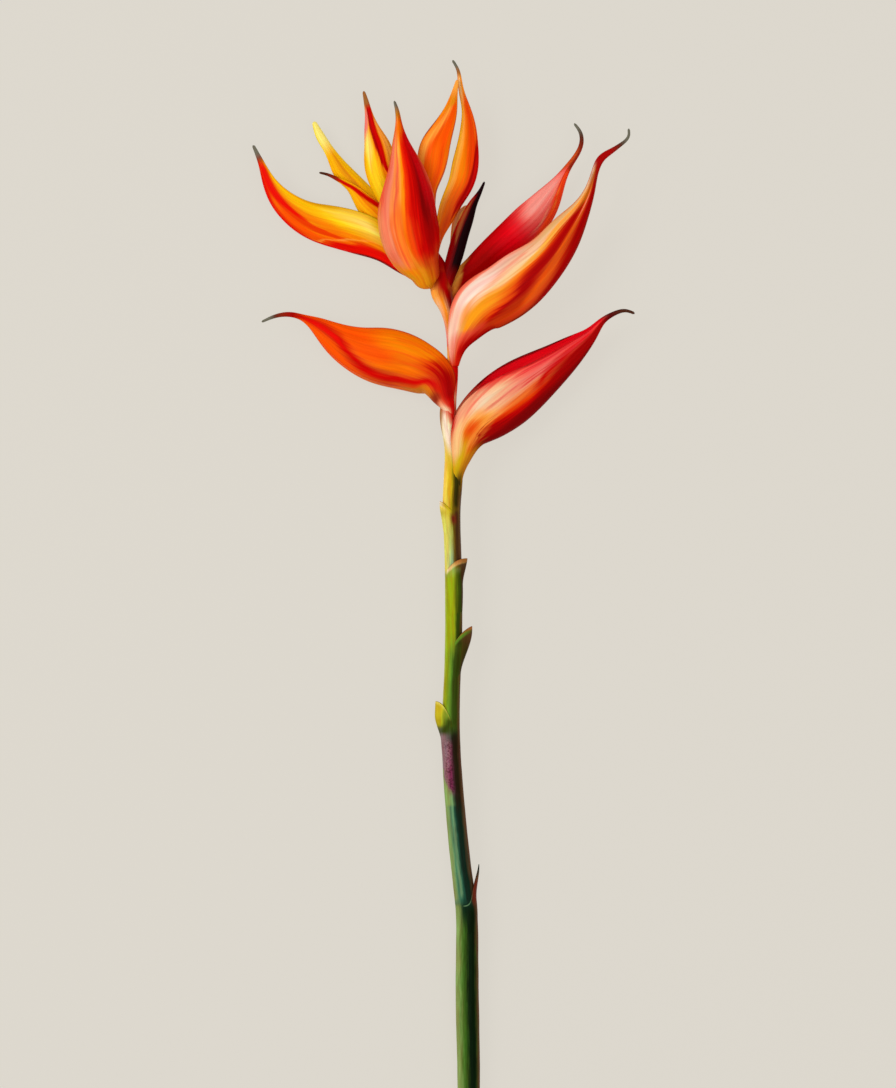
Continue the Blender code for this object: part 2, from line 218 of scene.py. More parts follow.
def folded_boat(name, piece, wall, arc_points):
    """A fine bract: outer skin, round lips and inner skin in one closed ring for each row."""
    stations = rows_of(piece["stations"])
    rows = int(path_length(stations) / ROW_SPACING)
    path = smooth_path(stations, rows)
    centre, half = path[:, :3], np.maximum(path[:, 3], LEAST_HALF_WIDTH)
    half[-1] *= TAIL_SHARE
    along = np.linspace(0.0, 1.0, rows)
    left, up = growth_axes(centre)
    across, rise, fold = folded_arc(piece, along, arc_points)
    depth = np.maximum(half * piece["depth"], LEAST_DEPTH * half / np.maximum(half, LEAST_DEPTH))
    ripple = np.sin(along * piece["waves"] * 2 * math.pi) * np.sin(along * math.pi)
    swing = (np.minimum(half, FULL_WAVE_WIDTH) / FULL_WAVE_WIDTH * ripple)[:, None]
    width = (half[:, None] * across + MARGIN_WAVE * swing * np.abs(fold) ** 6) * piece["mouth"]
    lifted = up[:, None] * (depth[:, None] * rise)[..., None]
    outer = centre[:, None] + left[:, None] * width[..., None] + lifted
    inward = (outer[:, :1] + outer[:, -1:]) / 2 - outer
    distance = np.linalg.norm(inward, axis=2, keepdims=True)
    thick = wall * (1 - (1 - MARGIN_WALL_SHARE) * np.abs(fold)[..., None] ** 4)
    inner = outer + inward * np.minimum(thick / np.maximum(distance, thick), SOLID_SHARE)
    outer[..., 2] = (outer[..., 2] + np.sqrt(outer[..., 2] ** 2 + FLOOR_ROUNDING**2)) / 2
    inner[..., 2] = np.maximum(inner[..., 2], INNER_FLOOR_SHARE * wall)
    near_lip = lip(outer[:, -1], inner[:, -1], outer[:, -2])
    far_lip = lip(outer[:, 0], inner[:, 0], outer[:, 1])[:, ::-1]
    rings = np.concatenate([outer, near_lip, inner[:, ::-1], far_lip], axis=1)
    lips = np.full((rows, len(LIP_TURNS)), 0.5)
    inside = np.concatenate([np.zeros_like(fold), lips, np.ones_like(fold), lips], axis=1)
    maps = [(along[:, None], round_ring(part) / 2 + 0.5) for part in (across, fold)]
    return skin_mesh(name, rings, *maps, inside)


print("boat helper ready")

# %% [markdown]
# The stations of each piece are the ones its solid was built on, moved a little closer to the real outline:
# x, y, z and half the width as seen from above. "mouth" is +1 where the boat opens to the left of its
# growth. "roll" turns the keel up, towards the viewer. "near" and "far" are how far the two walls wrap
# round, each from a place along the piece. "depth" is the thickness and "waves" how often the margin waves.

# %% The stations of every bract and floret
PIECES = {
    "bract_low_right": dict(mouth=1, roll=8, depth=0.82, waves=3,
        near="0 100, 0.25 96, 0.4 86, 0.55 78, 0.8 77, 1 95", far="0 112", stations="""
    -6.2 362.5 20.4 2, -5.6 372.5 21.6 2.8, -3.9 381.5 21.2 5.3, -0.5 393.7 18 10.4, 7.2 403 15 14.3,
    18.2 411.8 13 16.2, 33.2 423.5 11.8 15, 47.2 433.2 13 11.1, 59.5 442.4 15 6.9, 67.7 449.8 17 3.6,
    73.8 456.7 19 1.7, 80 460.5 20.5 1.1, 86 462 21 0.8, 91 460.5 20.5 0.6"""),
    "bract_low_left": dict(mouth=-1, roll=38, depth=0.82, waves=2.5, near="0 105", far="0 100", stations="""
    -10.2 402 22.5 1.6, -11.3 408.5 22.8 3.3, -13.8 414.2 22.6 6.2, -17.2 423.2 19.5 10.7,
    -26.7 430.6 15 14.2, -38 435 12 15.7, -50.2 437.6 11.4 15.2, -62.5 441.5 12.4 12.4,
    -74.4 448 14.5 8.6, -84.1 454.6 16.5 4.4, -91.4 458.3 18 1.8, -98 460 19 1.3, -105 459.5 19.5 1,
    -114 456 19.5 0.6"""),
    "bract_mid_right": dict(mouth=1, roll=20, depth=0.7, waves=3.5, near="0 112", far="0 108", stations="""
    -7.4 431.5 24 1.8, -7.4 436 24.2 3.2, -6.4 441.9 24.6 4.9, -2.1 452.1 26 9.8, 5.4 463.1 27 14.8,
    18.2 470.8 28 15.8, 30.5 480 28 15.1, 42.7 491.3 28 12.3, 53.4 505.1 28 9.2, 61.2 516.9 28 5.3,
    66.4 528.3 28 2.8, 69.5 539 28 1.9, 72.5 545.1 28.5 1.9, 77.8 549.1 29 1.4, 83.5 553 29.5 0.9,
    87.5 557.5 30 0.7, 87.5 561.5 30 0.6"""),
    "bract_back_right": dict(mouth=1, roll=25, depth=0.9, waves=2.5, near="0 108", far="0 104", stations="""
    -11.9 466.8 20 2.8, -6 478.5 15 4.7, 3 485.5 11.5 6.9, 13 494.5 9.5 8.2, 24.4 504.1 7.7 9.1,
    36.1 514.4 7.4 9.4, 44.5 525.5 9 6.9, 50.5 535 10 3.4, 55 542 11 1.8, 59.5 548.5 12 1.3,
    62 554.5 13 1.1, 61.5 560.5 14 0.9, 58 565.5 15 0.6"""),
    "bract_left": dict(mouth=-1, roll=8, depth=0.8, waves=2.5, near="0 108", far="0 104", stations="""
    -15.5 473 20 2.8, -23.6 480.5 18 4.2, -33.5 488.5 14 7.2, -44.3 497.3 11 9.2, -58 504 8.4 11,
    -71.6 507.8 8.2 11, -85.1 511.6 8 10, -97 518 9.6 8, -105.5 526 11 5.7, -111 535 12.5 3.3,
    -114.5 543.5 13.5 1.7, -119 553.5 14.5 0.7"""),
    "bract_front": dict(mouth=-1, roll=90, depth=0.55, waves=2, near="0 92", far="0 92", stations="""
    -20.6 474.6 26 1.2, -21.8 476.2 27 5.2, -23.4 480.1 29.5 8.2, -27.3 488.2 33 12.7,
    -31.5 501 35.5 16.2, -33.5 513 36.5 16.2, -34 526 36.5 14.3, -35 539.5 36 9.9, -37.3 553.4 35 4.9,
    -38.5 564.5 34 1.8, -39.5 571.5 33.5 1.1, -41 576.5 33 0.6"""),
    "bract_back_left": dict(mouth=-1, roll=60, depth=0.55, waves=2, near="0 100", far="0 100", stations="""
    -19.5 488 21 1.7, -27 495.5 22 2.5, -33.5 506.5 22 4.4, -39.5 518.5 21.5 6.6, -44.5 529.5 21 8.2,
    -48.5 541 20.5 8.8, -50.5 552 20 7.3, -53.1 561.4 19.5 4.6, -55 569.9 19.5 2.3, -56.5 577 19 1.4,
    -58 583 18.5 0.7"""),
    "bract_top_left": dict(mouth=-1, roll=30, depth=0.5, waves=2, near="0 95", far="0 95", stations="""
    -20.8 493.5 21 1.3, -23 504 22 2.8, -23.5 516.5 22 4.7, -23.3 528.6 22 5.8, -21 539.6 22 7.6,
    -19.3 550.7 22 8.1, -14.8 561.4 22 6.1, -10.5 571.3 21.8 3.9, -8.5 579.5 21.5 2.1, -6.5 589 21.3 0.7"""),
    "bract_top_right": dict(mouth=1, roll=20, depth=0.5, waves=2, near="0 95", far="0 95", stations="""
    -18.5 491.5 18.5 1.4, -16.3 502 17.5 1.8, -13 513 16.5 4.4, -9.1 522.9 16.5 5.9, -4.6 532.3 16.5 7,
    -2 542.3 16.5 7.2, -0.5 553.4 16.5 5.6, -0.3 564.5 17 3.9, -1.5 573.4 17.5 2.4, -3.9 582.4 18 1.5,
    -5 589 18.5 1.1, -6 594.5 19 0.8, -9 600 19.5 0.6"""),
    "floret_yellow": dict(mouth=-1, roll=90, depth=0.48, waves=1.5, near="0 120", far="0 120", stations="""
    -18 477 18.5 0.9, -25 483.5 16 1.3, -31.5 490.5 13 2.2, -37 499 10 3.4, -43.5 507.5 8 5.2,
    -50.5 517 7 6.6, -57 524.5 6.8 6.8, -63.2 532.7 6.8 5.3, -69.5 539 7.2 5.2, -73.5 545 7.5 4,
    -77.6 551.8 7.8 2.8, -82 559 8 2.5, -85.6 567 8.2 1.1"""),
    "floret_red": dict(mouth=-1, roll=90, depth=0.28, waves=1.5, near="0 110", far="0 110", stations="""
    -18.5 478 20.2 0.9, -25 483.5 18.7 1.1, -31.5 491.5 16.6 2, -37.5 499 14.8 3.3, -44.5 507 13.4 5.5,
    -51.2 515.3 13 6.2, -57.9 522.1 13 5.3, -63 528.4 13 3.1, -68.7 532.9 13.2 1.7,
    -73.5 535.5 13.6 1.1, -78 537.5 14 0.8, -82.5 538.5 14.3 0.6"""),
    "floret_dark": dict(mouth=1, roll=70, depth=0.7, waves=1, near="0 140", far="0 140", stations="""
    -12.6 473.5 22 2.4, -11.2 481 22.6 3.6, -8.9 488.5 22.5 4.3, -6.6 496.5 22 4.5, -4.1 505 21.5 4.3,
    -1 513 21.5 3.6, 2 520.5 21.5 2.5, 6 527.5 21.5 1.2, 8.5 533 21.5 0.6"""),
    "floret_amber": dict(mouth=1, roll=70, depth=0.55, waves=1, near="0 140", far="0 140", stations="""
    -14 475.5 18 1.2, -11 483.5 15 1.6, -9.2 490.8 13.6 2.2, -7.6 498.8 12.6 3, -6 507.3 12 3.9,
    -4.1 514.8 11.8 3.5, -1 520.5 11.6 0.9"""),
}
longest = max(PIECES, key=lambda name: path_length(rows_of(PIECES[name]["stations"])))
print(len(PIECES), "folded pieces; the longest is", longest)

# %% [markdown]
# The colours of the flower, as they look on a screen: two hex digits each for red, green and blue. A
# material wants them linear, so one helper converts them. They are named after what they look like, and
# every streak below picks one of them.

# %% The palette
PALETTE = dict(
    near_white="fcecde", pale_cream="f6dac0", cream="f6cda0", butter="fadc82", peach="f4ac80",
    light_peach="f69c70", salmon="f07c60", pink="f07468", light_pink="f6988a", rose="e22e34", coral="ec583a",
    crimson="c40008", bright_crimson="da000e", bright_red="e60800", red="ce0200", deep_red="a60000",
    dark_red="800002", maroon="5c0004", near_black="160002", rust="8c240e", rust_orange="cc4e18",
    red_orange="ea3a00", fire_orange="f85200", orange="f06a00", bright_orange="f78202", light_orange="fca23c",
    amber="e28a0e", brown_amber="bc7010", golden="fab004", yellow="face18", pale_yellow="fcec78",
    old_gold="d6a80c", dry_brown="4e2818", dry_grey="706c5c", tan="deac5c", olive="78620a",
    dark_olive="302c02", light_green="8a9c54", teal="2c604a", grey_green="8ca478", magenta="803054",
    dusty_pink="a47c7e", lime="96a00e", pale_lime="ccce60", gold_green="c4b01e", bark_brown="624630",
    peach_cream="f6be8e", orange_red="ee5406", soft_yellow="fad454", black_green="061804",
    black_brown="221808", leaf="3e621a", sage="709668", pine="0e2e1c", plum="3a0e1a", mauve="927074",
    moss="5c8622", dark_moss="324208", straw="e2d45c", ochre="c0a40c", dark_ochre="685006",
    rim_brown="5c3a1e", warm_cream="f0d8a2", milk="f0dcc0", red_brown="6e220e", stem_green="42641e",
    fern="588024", straw_green="b4b654", deep_pine="0e2418", dark_brown="462a12", terracotta="a4622c",
    hot_crimson="f60418", dusty_cream="f0c0a6", honey="f6bc7c", hot_pink="fa6c60", rust_red="d43810",
    brick="e25612", marigold="fa8e18", flame="ff4214", blush="f4c8b0", apricot="f6883e", burnt_amber="d6760e",
    paper="ddd8ce",
)


def paint(name):
    """A palette colour in linear light, with full alpha."""
    channels = [int(PALETTE[name][i:i + 2], 16) / 255 for i in (0, 2, 4)]
    return [c / 12.92 if c <= 0.04045 else ((c + 0.055) / 1.055) ** 2.4 for c in channels] + [1.0]


print(len(PALETTE), "colours")

# %% [markdown]
# ## Shared effects
#
# Materials and shapes are built from nodes here. A wire is the output of a node that can be reckoned with,
# so a formula reads as one: each sign between wires and numbers adds a Math node to the tree.

# %% Helpers for building node trees


def put(value, slot):
    """Link a value into a socket where it is a node's output, and set it there where it is a plain one."""
    value = getattr(value, "socket", value)
    if isinstance(value, bpy.types.NodeSocket):
        slot.id_data.links.new(value, slot)
    else:
        slot.default_value = value


class Wire:
    """A node's output in a formula."""

    def __init__(self, socket):
        self.socket = socket

    def reckon(self, operation, *values):
        """The wire that comes out of a new Math node."""
        node = self.socket.id_data.nodes.new("ShaderNodeMath")
        node.operation = operation
        for value, slot in zip(values, node.inputs):
            put(value, slot)
        return Wire(node.outputs[0])

    def __add__(self, other):
        return self.reckon("ADD", self, other)

    def __sub__(self, other):
        return self.reckon("SUBTRACT", self, other)

    def __rsub__(self, other):
        return self.reckon("SUBTRACT", other, self)

    def __mul__(self, other):
        return self.reckon("MULTIPLY", self, other)

    def __truediv__(self, other):
        return self.reckon("DIVIDE", self, other)

    def __rtruediv__(self, other):
        return self.reckon("DIVIDE", other, self)

    def __abs__(self):
        return self.reckon("ABSOLUTE", self)

    def clamped(self):
        """The same wire, held between 0 and 1 by its own node."""
        self.socket.node.use_clamp = True
        return self


def wires(node):
    """The outputs of a node by their names."""
    return {socket.name: Wire(socket) for socket in node.outputs}


def node_in(tree, kind, settings=(), **values):
    """A node with its settings made and its named inputs linked or filled."""
    node = tree.nodes.new(kind)
    for title, value in dict(settings).items():
        setattr(node, title, value)
    for title, value in values.items():
        put(value, node.inputs[title.replace("_", " ")])
    return node


def new_tree(kind, name, inputs, outputs):
    """A tree whose sockets are listed by kind; it returns the tree, its inputs' wires and its output node."""
    tree = bpy.data.node_groups.new(name, kind + "NodeTree")
    for side, listed in (("INPUT", inputs), ("OUTPUT", outputs)):
        for sort, titles in listed.items():
            for title in titles.split(", "):
                tree.interface.new_socket(title, in_out=side, socket_type="NodeSocket" + sort)
    return tree, wires(tree.nodes.new("NodeGroupInput")), tree.nodes.new("NodeGroupOutput")


def smooth_step(value, start, end):
    """0 before start and 1 after end, eased between them."""
    step = node_in(value.socket.id_data, "ShaderNodeMapRange", {"interpolation_type": "SMOOTHSTEP"},
                   Value=value, From_Min=start, From_Max=end)
    return Wire(step.outputs[0])


def mix_colour(tree, factor, below, above, blend="MIX"):
    """A Mix node for colours; it returns its result socket."""
    node = node_in(tree, "ShaderNodeMix", {"data_type": "RGBA", "blend_type": blend})
    for place, value in ((0, factor), (6, below), (7, above)):
        put(value, node.inputs[place])
    return node.outputs[2]


print("node helpers ready")

# %% [markdown]
# A shader node group is a small machine with named inputs and outputs. The first one lays a painted
# streak over a colour: it knows where along and across the bract the streak lies, how wide it is and how
# softly it ends. Real streaks are made of fibres, so the caller feeds it a slightly frayed "across", and a
# fibre noise that breaks up the soft edge.

# %% The painted streak


def build_streak():
    """Lay one streak over a colour."""
    tree, say, end = new_tree(
        "Shader", "Painted streak",
        {"Color": "Below, Colour", "Float": "Along, Across, Centre, Half width, Softness, Start, End, Fade, "
                                            "Strength, Fibre, Brokenness, Spots"},
        {"Color": "Colour"})
    fade, softness = say["Fade"], say["Softness"]
    away = abs(say["Across"] - say["Centre"])
    body = 1.0 - smooth_step(away, say["Half width"] * (1.0 - softness), say["Half width"] * (softness + 1.0))
    begin, finish = (smooth_step(say["Along"], at - fade, at + fade) for at in (say["Start"], say["End"]))
    mask = body * (begin * (1.0 - finish))
    ragged = (say["Fibre"] - 0.5) * say["Brokenness"]
    mask = (mask + mask * (1.0 - mask) * ragged).clamped()
    mask = (mask * say["Strength"]).clamped() * say["Spots"]
    put(mix_colour(tree, mask, say["Below"], say["Colour"]), end.inputs["Colour"])
    return tree


STREAK = build_streak()
print("streak inputs:", [item.name for item in STREAK.interface.items_tree if item.in_out == "INPUT"])

# %% [markdown]
# The second group is the leaf's fine grain. Long thin noise, stretched along the leaf, frays the edges of
# the streaks and makes faint fibres. It puts out the frayed "across", a tint that makes some fibres darker
# and some redder, a height for the bump, and a roughness that varies over the wax.

# %% The leaf grain
FIBRE_SHADE = 0.42
PATCH_SHADE = 0.34
LEAST_SHADE = 0.63
WARMTH = 1.1
LEAST_WARMTH = 0.46


def build_grain():
    """Fibres and wax of a leaf, from its two UV coordinates."""
    tree, say, end = new_tree(
        "Shader", "Leaf grain", {"Float": "Along, Across, Arc, Length, Fibres, Fray, Seed"},
        {"Float": "Across, Height, Roughness, Fibre", "Color": "Tint"})

    def long_noise(side, along_scale, side_scale, detail=2.0):
        """Noise stretched along the leaf."""
        place = node_in(tree, "ShaderNodeCombineXYZ", X=say["Along"] * (say["Length"] * along_scale),
                        Y=say[side] * (say["Fibres"] * side_scale), Z=say["Seed"])
        noise = node_in(tree, "ShaderNodeTexNoise", Vector=place.outputs[0], Scale=1.0, Detail=detail)
        return Wire(noise.outputs["Fac"])

    fray = (long_noise("Across", 0.7, 0.25) - 0.5) + (long_noise("Across", 1.0, 1.0) - 0.5)
    fibres = long_noise("Arc", 0.8, 1.8)
    patches = long_noise("Across", 0.8, 0.3)
    shade = fibres * FIBRE_SHADE + patches * PATCH_SHADE + LEAST_SHADE
    cooler = shade * (long_noise("Across", 0.5, 0.5, 3.0) * WARMTH + LEAST_WARMTH)
    tint = node_in(tree, "ShaderNodeCombineColor", Red=shade, Green=cooler, Blue=cooler)
    outputs = {"Across": say["Across"] + fray * say["Fray"], "Tint": tint.outputs[0], "Height": fibres,
               "Fibre": long_noise("Across", 0.6, 1.4, 3.0), "Roughness": patches * 0.2 + 0.3}
    for title, value in outputs.items():
        put(value, end.inputs[title])
    return tree


GRAIN = build_grain()
print("grain outputs:", [item.name for item in GRAIN.interface.items_tree if item.in_out == "OUTPUT"])

# %% [markdown]
# A bract's skin starts from a ramp of colours across it, from its outer edge (0) to its mouth side (1).
# Streaks are then laid over it one by one, each a list of points: how far along, how far across, and how
# wide. The last lines give it wax: a soft coat over a fairly rough body, and the fine fibres as bump.

# %% A painted skin
COAT = 0.02
COAT_ROUGHNESS = 0.35
WAX_SHINE = 0.02
BUMP_STRENGTH = 0.5
BUMP_DISTANCE = 0.0004
RIM_SHADE = 0.62
INSIDE_SHADE = 0.8
BROKENNESS = 4.5
SPOT_EDGE = (0.44, 0.6)


def new_material(name):
    """A material with nodes, its tree and the inputs of its shader."""
    material = bpy.data.materials.new(name)
    material.use_nodes = True
    return material, material.node_tree, material.node_tree.nodes["Principled BSDF"].inputs


def float_curve(tree, value, points):
    """A Float Curve through points of (along, value), read at value."""
    node = node_in(tree, "ShaderNodeFloatCurve", Value=value)
    curve = node.mapping.curves[0]
    places = [(0.0, points[0][1])] + [p for p in points if 0.0 < p[0] < 1.0] + [(1.0, points[-1][1])]
    while len(curve.points) < len(places):
        curve.points.new(0.5, 0.5)
    for point, place in zip(curve.points, places):
        point.location = place
    node.mapping.use_clip = False
    node.mapping.update()
    return node.outputs[0]


def object_noise(tree, scale, detail):
    """Noise on the piece itself, so many waves to the metre."""
    place = tree.nodes.new("ShaderNodeTexCoord").outputs["Object"]
    return Wire(node_in(tree, "ShaderNodeTexNoise", Vector=place, Scale=scale, Detail=detail).outputs["Fac"])


def bump_of(tree, height, strength, distance):
    """A surface that rises and falls with a height."""
    return node_in(tree, "ShaderNodeBump", Height=height, Strength=strength, Distance=distance).outputs[0]


def uv_parts(tree, title):
    """The two parts of a UV map."""
    uv = node_in(tree, "ShaderNodeUVMap", {"uv_map": title})
    parts = wires(node_in(tree, "ShaderNodeSeparateXYZ", Vector=uv.outputs[0]))
    return parts["X"], parts["Y"]


def painted_skin(name, stops, marks, seed=0.0, upward=False, fibres=24.0, fray=0.13, length=5.0,
                 inside_shade=INSIDE_SHADE):
    """A waxy leaf material: a ramp of colours, streaks and whole-width washes over it, and grain."""
    material, tree, shader = new_material(name)
    maps = {title: uv_parts(tree, title) for title in ("face", "arc")}
    along, across = maps["face"]
    grain = node_in(tree, "ShaderNodeGroup", {"node_tree": GRAIN}, Along=along, Across=across,
                    Arc=maps["arc"][1], Length=length, Fibres=fibres, Fray=fray, Seed=seed).outputs
    maps["face"] = along, grain["Across"]
    ground = node_in(tree, "ShaderNodeValToRGB", Fac=along if upward else grain["Across"])
    ground.color_ramp.interpolation = "EASE"
    ramp = ground.color_ramp.elements
    while len(ramp) < len(stops):
        ramp.new(0.5)
    for stop, (place, colour) in zip(ramp, stops):
        stop.position = place
        stop.color = paint(colour)
    colour = ground.outputs[0]
    for mark in marks:
        points = mark["points"]
        mark_along, mark_across = maps[mark["map"]]
        centre = float_curve(tree, mark_along, [(u, (a + 1) / 2) for u, a, w in points])
        width = float_curve(tree, mark_along, [(u, w / 2) for u, a, w in points])
        spots = smooth_step(object_noise(tree, mark["spots"], 3.0), *SPOT_EDGE) if mark["spots"] else 1.0
        colour = node_in(
            tree, "ShaderNodeGroup", {"node_tree": STREAK}, Below=colour, Colour=paint(mark["colour"]),
            Along=mark_along, Across=mark_across, Centre=centre, Half_width=width, Softness=mark["softness"],
            Start=points[0][0] if points[0][0] > 0 else -1.0, End=points[-1][0] if points[-1][0] < 1 else 2.0,
            Fade=mark["fade"], Strength=mark["strength"], Fibre=grain["Fibre"], Brokenness=BROKENNESS,
            Spots=spots).outputs[0]
    inside = Wire(node_in(tree, "ShaderNodeAttribute", {"attribute_name": "inside"}).outputs["Fac"])
    rim = abs(inside - 0.5) * (2.0 * (1.0 - RIM_SHADE)) + RIM_SHADE
    shade = (1.0 - inside * (1.0 - inside_shade)) * rim
    grey = node_in(tree, "ShaderNodeCombineColor", Red=shade, Green=shade, Blue=shade)
    for layer in (grain["Tint"], grey.outputs[0]):
        colour = mix_colour(tree, 1.0, colour, layer, "MULTIPLY")
    put(colour, shader["Base Color"])
    put(grain["Roughness"], shader["Roughness"])
    put(bump_of(tree, grain["Height"], BUMP_STRENGTH, BUMP_DISTANCE), shader["Normal"])
    shader["Coat Weight"].default_value = COAT
    shader["Coat Roughness"].default_value = COAT_ROUGHNESS
    shader["Specular IOR Level"].default_value = WAX_SHINE
    return material


print("skin helper ready")

# %% [markdown]
# The paint of each piece is a ramp across it and a list of streaks, one to a line. A line gives
# the streak's colour and softness, and after the colon its points: how far along the piece from root (0) to
# tip (100), how far across it from the outer edge (-100) to the mouth side (100), and half its width. A wash
# covers the whole width, so its points say only how far along. The tips dry first, and end in brown washes.

# %% The paint of every bract and floret
WHOLE_WIDTH = (0, 600)
WASH_SOFTNESS = 0.1
WASH_FADE = 0.04
BAND_FADE = 2.0
SEED_STEP = 3.7


def ramp_of(text):
    """Colours and their places, from a text with a comma between them."""
    return [(colour, float(place)) for colour, place in (stop.split() for stop in text.split(","))]


def marks_of(text, climb=None):
    """Streaks from lines of text, in hundredths; up the stem they are in millimetres that climb converts."""
    marks = []
    for line in text.strip().replace(",\n", ",").splitlines():
        head, points = line.split(":")
        colour, kind, *settings = head.split()
        softness = WASH_SOFTNESS if kind == "wash" else float(kind)
        fade = WASH_FADE if kind == "wash" else 0.01 + 0.05 * softness
        mark = {"colour": colour, "softness": softness, "strength": 1.0, "map": "face", "spots": 0.0}
        for setting in settings:
            title, value = setting.split("=")
            mark[title] = value if title == "map" else float(value)
        band = climb is not None and mark["map"] == "face"
        mark["fade"] = mark.get("fade", BAND_FADE) / STEM_LENGTH if band else mark.get("fade", fade)
        mark["points"] = [(climb(at) if band else at / 100, *(value / 100 for value in side or WHOLE_WIDTH))
                          for at, *side in rows_of(points)]
        marks.append(mark)
    return marks


